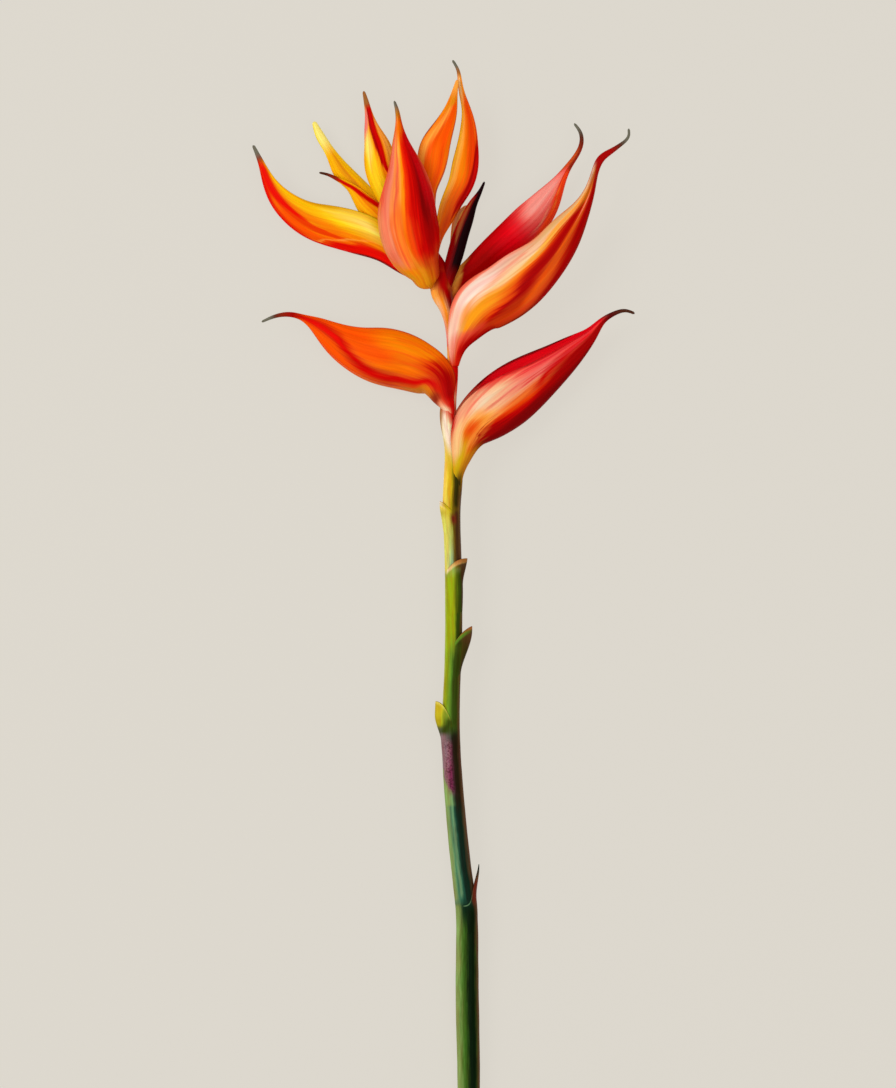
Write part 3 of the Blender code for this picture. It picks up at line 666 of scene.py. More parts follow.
SKINS = {
    # Painted light in this bract: the milk streak and the honey patch near the root are painted highlights,
    # and the peach_cream streak is partly the bract's own cream and partly painted highlight. The olive and
    # black_brown washes at the root are painted shade where the bract leaves the stem. The thin dark_red
    # streak along the near lip, from 44 to 72 along, is a painted shadow. The dark red along the outer edge
    # is partly the bract's own colour and partly painted shade.
    "bract_low_right": dict(inside_shade=1, ramp="""
    dark_red -100, deep_red -72, red -55, red_orange -42, apricot -25, light_peach -5,
    peach 20, peach 60, salmon 80, crimson 100""", marks="""
    peach_cream 1: 26 30 20, 32 35 35, 40 38 25, 50 45 10
    milk 1 strength=0.5: 28 45 10, 33 45 15, 38 40 10
    salmon 0.9: 18 50 2, 28 62 5, 42 64 4
    rose 0.9 strength=0.6: 30 12 2, 42 16 3, 50 12 2
    pink 1 fade=0.13: 45 20 20, 50 20 30, 60 20 30, 70 25 28, 80 35 22, 88 45 12
    orange_red 0.9 strength=0.6: 36 -28 10, 48 -25 12, 58 -20 10
    deep_red 0.4: 42 -110 40, 55 -95 50, 65 -75 62, 75 -60 65, 85 -45 75, 100 -30 120
    red 0.9: 52 -35 10, 60 -15 16, 68 -2 18, 76 12 18, 84 25 18
    rose 0.9 strength=0.8: 46 2 4, 60 0 5, 72 5 5, 80 15 4
    dark_red 0.7: 12 -105 25, 25 -100 30, 40 -100 32, 60 -105 30, 80 -110 25
    hot_crimson 0.4: 30 110 20, 40 110 46, 46 110 62, 52 110 72, 60 110 76, 70 110 80, 80 110 80, 90 100 90
    rose 0.9: 52 42 5, 60 40 8, 70 38 8, 80 42 10, 86 50 6
    dark_red 0.9 strength=0.4: 44 66 2, 50 57 4, 60 53 4, 72 50 2
    dark_red 0.6: 36 102 6, 50 102 8, 74 102 6
    light_orange 1: 14 5 30, 20 0 50, 27 -5 35, 34 -10 15
    orange_red 1: 15 0 10, 19 2 25, 23 0 25, 28 -5 10
    red_orange 1: 17 2 10, 20 2 15, 23 0 10
    deep_red 0.9: 18 -65 3, 24 -50 5, 30 -42 2
    deep_red 0.9: 16 -80 5, 24 -68 6, 32 -60 5
    rust_orange 0.9: 19 -50 2, 24 -35 4, 32 -22 2
    rust_orange 0.9: 20 -62 3, 26 -50 5, 34 -42 2
    salmon 0.9: 19 75 3, 26 85 4, 34 90 3
    amber wash fade=0.05: 0, 15
    old_gold 1: 2 60 70, 10 40 70, 17 10 30
    peach 1 strength=0.8: 20 80 10, 26 88 20, 33 92 10
    honey 1 fade=0.03: 11 85 30, 14 75 40, 18 65 30, 23 60 15
    brown_amber 0.9: 4 -70 60, 10 -80 50, 17 -95 20
    olive 1 fade=0.04: 0 -20 100, 7 -20 70
    black_brown 1 fade=0.03: 0 -20 90, 5.5 -20 50
    maroon wash fade=0.03: 88, 100
    dry_brown wash: 93, 100"""),
    # Painted shade in this bract: the rust streak under the foot, from 8 to 12.5 along, is a painted shadow.
    # The long red streak down the keel is partly the bract's own red and partly painted shade in the fold.
    "bract_low_left": dict(ramp="""
    orange -100, fire_orange -75, orange -40, orange 10, bright_orange 60, orange 90,
    rust_orange 100""", marks="""
    fire_orange 0.9: 38 10 30, 50 20 50, 62 35 70, 75 40 80, 85 40 80
    bright_orange 0.9 strength=0.5: 22 60 30, 35 50 40, 50 60 25
    fire_orange 0.6: 45 -85 10, 60 -75 30, 75 -70 40, 82 -60 50
    burnt_amber 0.6: 4 -80 40, 15 -85 35, 20 -95 20, 30 -100 8
    red 0.9: 2 40 100, 15 35 70, 20 30 55, 25 10 30
    deep_red 0.8: 5 70 50, 10 55 60, 16 45 50, 20 30 30
    orange_red 0.9 strength=0.6: 20 75 4, 30 72 5, 42 70 2
    orange_red 0.9 strength=0.6: 20 30 5, 32 25 6, 46 30 2
    orange_red 0.9 strength=0.6: 20 0 6, 33 -12 6, 50 -10 3
    rust_orange 1: 14 -40 30, 25 -65 22, 35 -72 22, 50 -64 24, 60 -35 25
    red 0.9: 10 -20 30, 17 -42 26, 22 -60 19, 28 -69 15, 35 -72 14, 43 -73 15, 50 -64 18, 56 -46 21,
        62 -18 27, 68 10 33, 74 15 44, 80 10 60, 88 0 100
    bright_red 0.8: 60 -20 5, 70 10 15, 80 10 30
    coral 1 fade=0.03: 0 -30 100, 6 -50 80, 10 -80 50
    peach_cream 1 fade=0.03: 0 -30 140, 4 -40 90, 8 -70 30
    rust 1 fade=0.02: 8 -95 20, 10 -70 40, 12.5 -60 20
    pale_cream 1 fade=0.03: 0 -60 80, 5 -80 50
    red 1 fade=0.02: 0 80 30, 4 80 60, 8 70 70
    deep_red wash fade=0.03: 84, 100
    rust wash fade=0.03: 89, 100
    dry_brown wash fade=0.03: 93, 100
    dry_grey wash fade=0.02: 95, 100"""),
    # Painted light in this bract: the near_white streak is a painted highlight. The pale part of the ramp
    # towards the mouth side (peach_cream, blush, dusty_cream) is partly the bract's own colour and partly
    # painted highlight.
    "bract_mid_right": dict(ramp="""
    rust -100, rust_orange -85, red -50, rust_orange -25, bright_orange -5, light_orange 17,
    peach_cream 42, blush 65, dusty_cream 85, salmon 100""", marks="""
    honey 1 strength=0.5: 28 35 20, 38 52 22, 48 68 25, 60 78 20
    near_white 1 strength=0.7: 14 45 10, 21 50 26, 30 65 16
    salmon 0.9 strength=0.7: 10 80 3, 20 90 5, 32 95 3
    light_peach 0.9 strength=0.7: 14 30 3, 24 42 5, 34 55 3
    bright_orange 1 strength=0.8: 11 20 15, 16 25 25, 22 30 10
    coral 0.9 strength=0.8: 10 98 6, 20 98 10, 30 100 5
    salmon 0.9 strength=0.5: 30 60 3, 40 68 4, 50 80 3
    tan 1 strength=0.8 fade=0.1: 50 90 20, 62 80 30, 72 70 40, 80 50 50
    marigold 1: 10 -10 10, 15 -10 26, 22 -10 26, 30 -4 20, 38 10 16, 50 28 13, 62 38 10
    golden 1 strength=0.2: 13 -10 8, 18 -10 12, 26 -5 5
    light_orange 0.9: 38 30 6, 50 46 8, 65 60 10, 75 55 12
    rust_red 0.8: 8 -80 30, 20 -80 25, 30 -70 25, 40 -60 30, 48 -50 20
    orange_red 1: 20 -50 15, 32 -20 18, 40 -2 18, 50 15 16, 60 25 16, 72 33 16, 78 30 15
    red 0.9: 18 -66 10, 24 -58 15, 32 -40 19, 40 -18 21, 50 -3 23, 60 8 24, 70 17 22, 77 17 15
    deep_red 0.9: 22 -62 5, 30 -47 12, 40 -18 17, 50 -3 19, 60 8 19, 68 17 15, 74 20 8
    brick 0.9: 16 -78 10, 25 -72 12, 32 -62 13, 40 -56 13, 50 -43 14, 60 -30 14, 70 -22 10, 78 -30 6
    orange_red 0.9 strength=0.8: 22 -80 3, 32 -66 5, 42 -46 5, 52 -30 5, 62 -20 4
    deep_red 0.7: 36 -110 20, 45 -98 22, 52 -88 28, 62 -76 31, 72 -66 37, 80 -50 50, 90 0 120
    deep_red 0.9 strength=0.7: 13 -88 15, 22 -76 20, 30 -62 18, 38 -42 12
    salmon 0.8: 65 -13 2, 70 -13 5, 76 -16 2
    brown_amber 0.9 strength=0.8: 69 30 10, 73 25 20, 77 20 10
    dusty_cream 1: 2 70 60, 9 65 50, 14 60 30
    coral 1: 3 10 90, 7 0 65, 11 -25 45, 15 -55 20
    light_pink 0.9 strength=0.7: 5 30 4, 9 40 6, 13 50 3
    red 1: 0 -50 90, 5 -60 65, 10 -80 45, 16 -95 30
    deep_red 0.9: 0 -80 60, 6 -90 45, 12 -100 30, 20 -100 15
    rust_red wash fade=0.03: 0, 2.5
    red 1: 0 -30 90, 4 -40 50
    rust 0.9 strength=0.8: 77 20 50, 80 20 80, 82 20 60
    deep_red wash fade=0.02: 83, 100
    dry_brown wash fade=0.03: 92, 100
    dry_grey wash fade=0.02: 95, 100"""),
    "bract_back_right": dict(ramp="""
    bright_red -100, hot_crimson -50, hot_crimson 0, bright_crimson 80, deep_red 100""", marks="""
    rose 0.9 fade=0.06: 45 0 90, 55 -10 90, 70 -10 90, 80 0 90
    hot_pink 1 fade=0.06: 50 20 70, 60 20 90, 70 30 80, 79 30 80
    light_pink 0.9: 52 40 30, 62 50 50, 74 40 50
    deep_red 0.9 fade=0.1: 0 10 120, 34 0 120
    salmon 0.9: 50 -66 4, 60 -42 6, 70 -15 6, 76 -2 4
    flame 0.35: 44 -110 20, 55 -95 28, 65 -75 36, 75 -50 40, 80 -30 50
    deep_red 0.9: 70 -30 2, 74 -20 5, 79 -10 8
    light_orange 0.8 strength=0.3: 60 -70 4, 68 -50 5, 74 -40 4
    rust_orange 0.9: 2 -50 35, 7 0 60, 11 50 50, 16 100 15
    light_orange 1: 3 -40 25, 7 0 45, 12 50 40, 17 100 15
    rust 1 fade=0.02: 78 -60 50, 81 -30 100, 83 0 140, 100 0 160
    rust_orange 1 fade=0.03: 76 90 30, 82 70 60, 88 60 50
    dry_brown wash fade=0.05: 91, 100
    dry_grey wash fade=0.03: 95.5, 100"""),
    # The pale_yellow streak in this bract is a painted highlight.
    "bract_left": dict(ramp="""
    red -100, bright_red -75, red_orange -50, bright_orange -30, golden 0, yellow 45,
    golden 80, old_gold 100""", marks="""
    soft_yellow 1 strength=0.7 fade=0.1: 30 15 20, 38 45 35, 48 65 25, 55 75 10
    pale_yellow 1 strength=0.6: 33 35 10, 39 50 15, 45 60 8
    golden 0.8: 50 10 15, 62 40 30, 75 60 30, 88 80 30
    bright_orange 0.8: 42 -30 15, 55 -5 25, 68 15 20, 80 35 20, 92 50 30
    orange 0.6: 42 -50 12, 52 -45 30, 65 -50 50, 80 -50 60
    fire_orange 0.8: 55 -75 10, 65 -65 25, 75 -60 30
    red_orange 0.5: 46 -50 5, 58 -35 12, 66 -22 20, 75 -10 28, 85 0 50, 92 0 90
    bright_red 0.7: 64 -15 8, 74 -10 20, 82 -15 40, 90 -10 60, 94 0 80
    bright_red 0.4: 15 -80 30, 28 -75 32, 38 -80 28, 46 -95 22, 56 -110 15
    dark_red 0.6: 15 -105 18, 30 -103 12, 42 -102 6
    light_orange 0.7 strength=0.5: 30 -12 3, 38 -30 4, 45 -48 4, 52 -70 4, 60 -95 3
    bright_red 0.9: 54 -100 6, 64 -98 16, 74 -95 22, 85 -90 40
    amber wash: 0, 12
    rust wash fade=0.02: 93, 100
    dry_grey wash fade=0.02: 95, 100"""),
    "bract_front": dict(ramp="""
    amber -100, coral -93, salmon -72, apricot -55, coral -45, light_orange -30,
    bright_orange -17, red_orange -5, bright_red 20, red 42, red 80, red 92, orange_red 100""", marks="""
    deep_red 1: 20 62 10, 40 60 30, 60 58 26, 74 54 12
    dark_red 0.9 strength=0.8: 36 64 8, 48 62 15, 60 60 10, 70 56 3
    bright_crimson 0.9 strength=0.8: 42 92 10, 55 90 22, 70 86 26, 82 80 15
    coral 0.7: 45 98 5, 62 98 10, 74 98 8
    orange_red 1 strength=0.65: 16 -30 20, 26 -35 40, 36 -35 35, 46 -30 10
    light_peach 1 strength=0.7: 22 -92 10, 32 -88 18, 44 -90 10
    brick 1 fade=0.05: 0 20 130, 8 20 110, 14 20 80, 18 10 30
    bright_orange 1: 0 -30 100, 8 -40 80, 13 -60 50, 19 -90 20
    amber 1: 0 -20 120, 4 -30 90, 10 -60 40, 16 -90 10
    rust_red 1: 2 90 30, 10 90 30, 20 95 20
    light_orange 0.9 strength=0.25: 3 10 5, 12 -10 6, 24 -20 5
    deep_red 0.9 strength=0.4: 5 40 4, 14 35 5, 26 35 5
    amber 1 strength=0.6 fade=0.05: 4 -20 60, 10 -20 60, 16 -30 30
    orange 0.9: 80 -30 40, 87 -10 80, 91 0 80
    brown_amber wash fade=0.03: 91, 100
    dry_grey wash fade=0.03: 95.5, 100"""),
    "bract_back_left": dict(ramp="""
    golden -100, yellow -75, yellow -30, golden 5, bright_orange 35, light_orange 80,
    marigold 100""", marks="""
    pale_yellow 0.9 strength=0.7: 60 -60 10, 72 -65 25, 82 -70 20
    bright_orange 0.8: 50 15 15, 60 20 25, 75 0 40, 88 0 60
    pink 0.8: 76 -90 20, 84 -75 35, 92 -60 40
    red 0.35: 50 50 10, 58 30 15, 65 20 20, 75 10 32, 82 12 48, 87 25 65, 95 10 90
    deep_red 0.7: 60 12 5, 70 0 10, 80 -15 12, 92 -20 15
    terracotta wash fade=0.02: 92, 100"""),
    "bract_top_left": dict(ramp="""
    rust_orange -100, bright_orange -85, fire_orange -50, fire_orange 0, fire_orange 60,
    orange 90, rust_orange 100""", marks="""
    bright_orange 1 strength=0.25: 36 0 30, 50 10 30, 62 20 20
    light_orange 1 strength=0.8: 40 -90 15, 55 -70 22, 65 -55 22, 78 -30 24, 90 -10 30
    amber 0.9: 82 -60 30, 88 0 60, 93 0 100
    light_orange wash: 92, 100
    rust 0.5: 60 -98 4, 85 -98 5"""),
    "bract_top_right": dict(ramp="""
    deep_red -100, red -70, red_orange -45, orange -10, bright_orange 30, light_orange 70,
    golden 100""", marks="""
    bright_orange wash strength=0.8 fade=0.08: 0, 22
    orange_red 0.9: 5 -20 80, 15 -30 60, 25 -40 30
    rust_red 1 strength=0.5: 10 -20 60, 25 0 50, 38 10 30
    red_orange 0.9: 42 -50 20, 52 -60 50, 65 -55 70, 79 -30 60
    orange_red 0.9: 60 -90 30, 70 -90 35, 80 -90 50
    deep_red 0.6: 20 -65 10, 30 -62 20, 40 -62 20, 50 -72 18, 60 -90 10
    red 0.8: 35 -95 15, 48 -95 15, 58 -98 8
    marigold wash: 82, 100
    honey 0.9: 82 40 40, 87 40 50, 92 30 40
    terracotta wash fade=0.02: 92, 100
    dry_grey wash fade=0.02: 95.5, 100"""),
    "floret_yellow": dict(ramp="""
    golden -100, golden -50, golden 0, golden 50, yellow 100""", marks="""
    amber 0.8: 55 0 10, 65 5 20, 75 15 25, 84 20 15
    pale_yellow wash fade=0.05: 86, 100
    yellow 0.7: 84 -90 20, 92 -95 25, 100 -95 30"""),
    "floret_red": dict(ramp="""
    golden -100, golden -30, bright_orange 20, golden 60, golden 100""", marks="""
    red 0.45: 45 95 14, 52 85 20, 60 72 26, 70 50 32, 78 20 45, 86 -10 60, 92 0 120
    rust wash fade=0.03: 88, 100
    dry_brown wash fade=0.03: 94, 100"""),
    # The terracotta streak on this dark floret is a painted highlight.
    "floret_dark": dict(ramp="""
    near_black -100, near_black -10, maroon 15, dark_red 50, deep_red 100""", marks="""
    terracotta 0.9 strength=0.6: 42 35 10, 55 50 20, 68 60 22, 80 50 15
    near_black wash: 86, 100
    dark_red wash fade=0.08: 0, 17
    deep_red wash fade=0.06: 0, 8"""),
    "floret_amber": dict(ramp="""
    bright_orange -100, light_orange 0, honey 60, light_orange 100""", marks=""),
}
materials = {}
for number, (name, skin) in enumerate(SKINS.items()):
    stops = [((place / 100 + 1) / 2, colour) for colour, place in ramp_of(skin["ramp"])]
    materials[name] = painted_skin(name + "_skin", stops, marks_of(skin["marks"]), seed=number * SEED_STEP,
                                   inside_shade=skin.get("inside_shade", INSIDE_SHADE))
print(len(materials), "painted skins with", sum(len(marks_of(s["marks"])) for s in SKINS.values()), "marks")

# %% [markdown]
# Parallel veins run from the root of a bract to its tip. Geometry Nodes raise them from the finished skin,
# so one tree with a few numbers serves every piece: it pushes each point out along its normal by a wave
# of its place round the fold, and lets the wave die out at the root and the tip.

# %% The tree that raises veins
GEOMETRY = {"Geometry": "Geometry"}


def pushed_out(tree, geometry, height):
    """The geometry with each point moved out along its normal."""
    normal = node_in(tree, "GeometryNodeInputNormal").outputs["Normal"]
    push = node_in(tree, "ShaderNodeVectorMath", {"operation": "SCALE"}, Vector=normal, Scale=height)
    return node_in(tree, "GeometryNodeSetPosition", Geometry=geometry, Offset=push.outputs[0]).outputs[0]


def real_with(tree, geometry, material):
    """The geometry with its instances made real and its material set."""
    real = node_in(tree, "GeometryNodeRealizeInstances", Geometry=geometry)
    return node_in(tree, "GeometryNodeSetMaterial", Geometry=real.outputs[0], Material=material).outputs[0]


def read_attribute(tree, name, kind="FLOAT"):
    """A value stored on the geometry."""
    return Wire(node_in(tree, "GeometryNodeInputNamedAttribute", {"data_type": kind}, Name=name).outputs[0])


def build_veins():
    """Raise parallel veins on a skin with an arc map."""
    tree, say, end = new_tree("Geometry", "Raise veins",
                              GEOMETRY | {"Float": "Veins, Height", "Material": "Finish"}, GEOMETRY)
    arc = read_attribute(tree, "arc", "FLOAT_VECTOR")
    place = wires(node_in(tree, "ShaderNodeSeparateXYZ", Vector=arc))
    angle = place["Y"] * say["Veins"] * (2 * math.pi)
    fade = (place["X"] * (1.0 - place["X"]) * 4.0).clamped()
    raised = pushed_out(tree, say["Geometry"], angle.reckon("COSINE", angle) * fade * say["Height"])
    put(real_with(tree, raised, say["Finish"]), end.inputs[0])
    return tree


def grown(item, tree, **values):
    """The plain mesh that a tree makes of an object, under the same name and with no modifier."""
    modifier = item.modifiers.new("grow", "NODES")
    modifier.node_group = tree
    for socket in tree.interface.items_tree:
        title = socket.name.replace(" ", "_")
        if socket.in_out == "INPUT" and title in values:
            modifier[socket.identifier] = values[title]
    bpy.context.view_layer.update()
    evaluated = item.evaluated_get(bpy.context.evaluated_depsgraph_get())
    mesh = bpy.data.meshes.new_from_object(evaluated)
    name = item.name
    bpy.data.objects.remove(item)
    mesh.name = name
    return add_object(name, mesh)


VEINS = build_veins()
print("vein inputs:", [item.name for item in VEINS.interface.items_tree if item.in_out == "INPUT"])

# %% [markdown]
# Now the bracts and florets can be made: the fine boat, its veins, and its paint. The large bracts have
# thicker walls, and more and higher veins, than the small florets at the heart of the flower.

# %% Grow the bracts and the florets
BRACT = {"wall": 1.2, "arc_points": 49, "veins": 11.0, "vein_height": 0.09 * MM}
FLORET = {"wall": 0.9, "arc_points": 31, "veins": 5.0, "vein_height": 0.05 * MM}
flower = {}
for name, piece in PIECES.items():
    kind = FLORET if name.startswith("floret") else BRACT
    skin = folded_boat("fine_" + name, piece, kind["wall"], kind["arc_points"])
    flower[name] = grown(skin, VEINS, Veins=kind["veins"], Height=kind["vein_height"], Finish=materials[name])
    print(name, len(flower[name].data.polygons), "faces")

# %% [markdown]
# ## The shoot
#
# The stem is a round stalk that carries the zigzag of the head. It is a circle swept along a path, so a
# Geometry Nodes tree grows it from a plain curve with a radius at each point. It ribs the circle, lumps the
# surface a little as a living stem is, and stores the same two maps as the bracts have.

# %% The path of the stem
STEM_ROW_SPACING = 0.9
STEM = rows_of("""
    0 0 5.8 6.1, 0 25.5 5.8 6.1, -0.5 61 6.6 6.4, -1 105 8 6.2, -1.5 132.5 9.3 5.9, -3.5 149 10.2 5.6,
    -6.5 176.5 11.8 5.4, -9 207 13.2 5.2, -10 229 14.2 5, -9.5 253.5 15.2 4.6, -8.5 281 16.2 4.7,
    -8.5 308.5 17 4.7, -9 333.5 18 4.6, -9.5 355.5 18.6 5, -8.5 374.5 18.6 5.1, -9.5 391 18.8 4.5,
    -11.5 406.5 20.4 4.6, -10 418.5 21 3.5, -9 432.5 21 3, -10 449 21 2.6, -12.7 464.5 21 4.2,
    -15.2 473.5 20.8 6, -15.4 482 20.5 4.9, -20 494.5 20 2.5, -21.5 499 19.8 1.4
""")
STEM_ROWS = smooth_path(STEM, int(path_length(STEM) / STEM_ROW_SPACING))
STEM_LENGTH = path_length(STEM)


def climb(y):
    """How far along the stem, from 0 to 1, a place is that lies so many millimetres above the cut."""
    return np.interp(y, STEM_ROWS[:, 1], np.linspace(0.0, 1.0, len(STEM_ROWS)))


def path_curve(name, rows):
    """A curve object through rows of x, y, z and radius."""
    curve = bpy.data.curves.new(name, "CURVE")
    curve.dimensions = "3D"
    spline = curve.splines.new("POLY")
    spline.points.add(len(rows) - 1)
    places = np.concatenate([rows[:, :3] * MM + CUT_END, np.ones((len(rows), 1))], axis=1)
    spline.points.foreach_set("co", places.reshape(-1))
    spline.points.foreach_set("radius", rows[:, 3] * MM)
    return add_object(name, curve)


print("the stem is", round(STEM_LENGTH), "mm long, in", len(STEM_ROWS), "rows")

# %% [markdown]
# The tree sweeps the circle with a named radius, works out for each point of the tube which side of the
# stem it is on, and keeps that as its two maps. Ribs are a wave round the stem, and lumps are plain noise.

# %% The tree that sweeps the shoot


def build_shoot():
    """Sweep a ribbed circle along a curve, lump it a little, and store its maps."""
    tree, say, end = new_tree(
        "Geometry", "Ribbed shoot",
        GEOMETRY | {"Int": "Sides, Ribs", "Float": "Rib height, Lump size, Lump height",
                    "Material": "Finish"}, GEOMETRY)

    def stored(geometry, name, value, kind="FLOAT", domain="POINT"):
        """The geometry with a value stored on it under a name."""
        return node_in(tree, "GeometryNodeStoreNamedAttribute", {"data_type": kind, "domain": domain},
                       Geometry=geometry, Name=name, Value=value).outputs[0]

    radius = node_in(tree, "GeometryNodeInputRadius").outputs[0]
    place = node_in(tree, "GeometryNodeInputPosition").outputs[0]
    factor = node_in(tree, "GeometryNodeSplineParameter").outputs["Factor"]
    path = stored(say["Geometry"], "axis_place", place, "FLOAT_VECTOR")
    path = stored(stored(path, "girth", radius), "climb", factor)
    circle = node_in(tree, "GeometryNodeCurvePrimitiveCircle", Resolution=say["Sides"], Radius=1.0)
    swept = node_in(tree, "GeometryNodeCurveToMesh", Curve=path, Profile_Curve=circle.outputs[0],
                    Scale=radius, Fill_Caps=True).outputs[0]
    axis_place = read_attribute(tree, "axis_place", "FLOAT_VECTOR")
    here, middle = (wires(node_in(tree, "ShaderNodeSeparateXYZ", Vector=at)) for at in (place, axis_place))
    girth = read_attribute(tree, "girth")
    side = (middle["X"] - here["X"]) / girth
    up = (here["Z"] - middle["Z"]) / girth
    swept = stored(swept, "turn", side.reckon("ARCTAN2", side, up) / (2 * math.pi))
    turn = read_attribute(tree, "turn")
    for title, value in (("face", side / 2.0), ("arc", turn)):
        pair = node_in(tree, "ShaderNodeCombineXYZ", X=read_attribute(tree, "climb"), Y=value + 0.5)
        swept = stored(swept, title, pair.outputs[0], "FLOAT2", "CORNER")
    angle = turn * say["Ribs"] * (2 * math.pi)
    ribs = angle.reckon("COSINE", angle) * say["Rib height"]
    noise = node_in(tree, "ShaderNodeTexNoise", Scale=1.0 / say["Lump size"])
    lumps = (Wire(noise.outputs["Fac"]) - 0.5) * say["Lump height"]
    moved = pushed_out(tree, swept, (ribs + lumps) * girth)
    smooth = node_in(tree, "GeometryNodeSetShadeSmooth", Geometry=moved)
    put(real_with(tree, smooth.outputs[0], say["Finish"]), end.inputs[0])
    return tree


SHOOT_TREE = build_shoot()
print("shoot inputs:", [item.name for item in SHOOT_TREE.interface.items_tree if item.in_out == "INPUT"])

# %% [markdown]
# The stem changes colour as it climbs, and its sides differ too: a pale strip on the left, a dark one right
# of the middle and a brown rim. The pale strip is partly the stem's own colour and partly painted light from
# the lamp on the left, and the dark strip partly its own colour and partly painted shade. So its ramp runs
# along it, and bands laid over the ramp paint its sides.
# Their first number is millimetres above the cut. Two of them are broken into spots: the magenta sheath is
# mottled like this on the real stem.

# %% The skin of the shoot
STEM_COLOURS = """
    stem_green 0, leaf 62, leaf 118, pine 134, teal 140, teal 192, magenta 200, magenta 221, pine 227,
    fern 240, fern 268, lime 288, lime 314, grey_green 322, straw_green 340, ochre 352, ochre 376, butter 386,
    warm_cream 394, warm_cream 402, peach 413, coral 419, red 424, red 434, coral 441, light_pink 448,
    peach 458, cream 466, light_orange 472, rust_orange 478, deep_red 486
"""
# The bands at 100 and 105 across, on the left (light_green, sage, mauve, lime, pale_lime, straw,
# soft_yellow), are partly the stem's own colour and partly painted light. The dark bands right of the middle
# (black_green, deep_pine, black_brown, dark_moss, dark_ochre, dark_olive, dark_brown) are partly its own
# colour and partly painted shade.
STEM_BANDS = marks_of("""
    light_green 1: 0 100 40, 136 100 40
    sage 1 strength=0.7: 136 100 45, 196 100 45
    sage 1 strength=0.8: 140 25 12, 170 25 14, 196 30 10
    light_green 1: 138 105 30, 170 105 36, 205 105 36
    mauve 1 fade=3: 198 100 40, 215 100 50, 232 100 70
    lime 1 fade=4: 236 100 50, 286 100 50
    pale_lime 1 strength=0.6 fade=4: 240 105 15, 316 105 15
    straw 1: 318 100 50, 349 100 50
    soft_yellow 1: 353 100 50, 386 100 40
    old_gold 1 strength=0.7: 360 30 25, 392 60 40
    black_green 0.7 fade=6: 0 -45 46, 60 -40 48, 136 -38 50
    deep_pine 0.6: 136 -40 46, 196 -40 46
    plum 0.8 strength=0.7 spots=900: 196 25 50, 226 25 50
    dusty_pink 0.8 strength=0.5 spots=1400: 211 35 30, 226 35 35
    light_green 0.9 fade=1: 190 100 70, 200 100 40, 210 100 5
    black_brown 0.6 fade=8: 190 -50 50, 232 -50 45
    dark_moss 0.6 fade=4: 232 -45 42, 272 -40 44
    dark_moss 0.6 fade=4: 276 -55 36, 320 -50 40
    dark_ochre 0.6: 320 -45 40, 376 -40 44
    dark_olive 0.8: 354 -50 30, 375 -40 36
    dark_brown 0.7: 322 -60 26, 352 -60 26
    red_brown 0.9: 345 -25 30, 350 -15 30
    rim_brown 1: 0 -100 20, 130 -100 22, 148 -100 26, 195 -100 24, 230 -100 22, 374 -100 26
    bark_brown 0.8: 322 -102 14, 372 -102 14
    orange 1 fade=4: 376 -80 30, 392 -100 30
    pale_cream 1 fade=5: 386 30 40, 408 50 30
    terracotta 1 fade=4: 397 102 12, 404 102 30, 412 100 45
    red 1 fade=4: 394 -90 15, 400 -70 40, 405 -50 60, 412 -40 90
    light_orange 1: 434 90 40, 442 90 30
    marigold 1 fade=4: 448 20 35, 462 25 45, 472 10 40
    red 1: 434 -80 50, 448 -100 30
    deep_red 0.9: 454 -100 25, 463 -75 45, 471 -50 65, 478 -10 100, 484 0 140
    light_orange 1 fade=4: 468 100 40, 476 100 50
""", climb)
STEM_SKIN = {"stops": [(climb(y), colour) for colour, y in ramp_of(STEM_COLOURS)], "upward": True,
             "fibres": 14.0, "length": 60.0, "fray": 0.09}
shoot = grown(path_curve("fine_stem", STEM_ROWS), SHOOT_TREE, Sides=48, Ribs=13, Rib_height=0.012,
              Lump_size=0.02, Lump_height=0.08,
              Finish=painted_skin("stem_skin", marks=STEM_BANDS, **STEM_SKIN))
print("stem", len(shoot.data.polygons), "faces", [round(v, 4) for v in shoot.dimensions])

# %% [markdown]
# At each node the stem stands in the sheath of an old leaf: a tube that hugs it and ends in a slanting mouth,
# whose highest point draws out into a tip. So a sheath is made from the stem's own path. Round the stem the
# mouth rises towards the tip, and near the tip the wall bends away from the stem.

# %% The sheaths at the nodes
# Each row: low, back, tip, power, blunt, toward, where the tip bends from and to, flare, merge.
SHEATHS = {
    "spike_sheath": "112 134.5 157 7 1 1 137 158 4.2 0.3",
    "bud_sheath": "204 218 247 1 1.6 -1 225 240 3.6 0.3",
    "scale_sheath": "250 268 288.4 1.06 1.15 1 263 286 5 0.45",
    "upper_sheath": "282 317.5 325.8 1 1.7 1 311 328 3 0.02",
    "top_collar": "332 345.5 357.2 1 1.2 -1 344 356 1.2 0.4",
}
SHEATH_WRAP = 178.0
SHEATH_COLUMNS = 97
SHEATH_ROW_SPACING = 0.6
SHEATH_SUNK = 0.5
SHEATH_STAND = 0.5
SHEATH_WALL = 0.45
SHEATH_SEED = 50.0
RISE_SPEED = 1.6
MERGE_WIDTH = 0.18
TIP_WIDTH = 4.0


def soft_rise(share):
    """From 0 to 1, slow at both ends."""
    share = np.clip(share, 0.0, 1.0)
    return share * share * (3 - 2 * share)


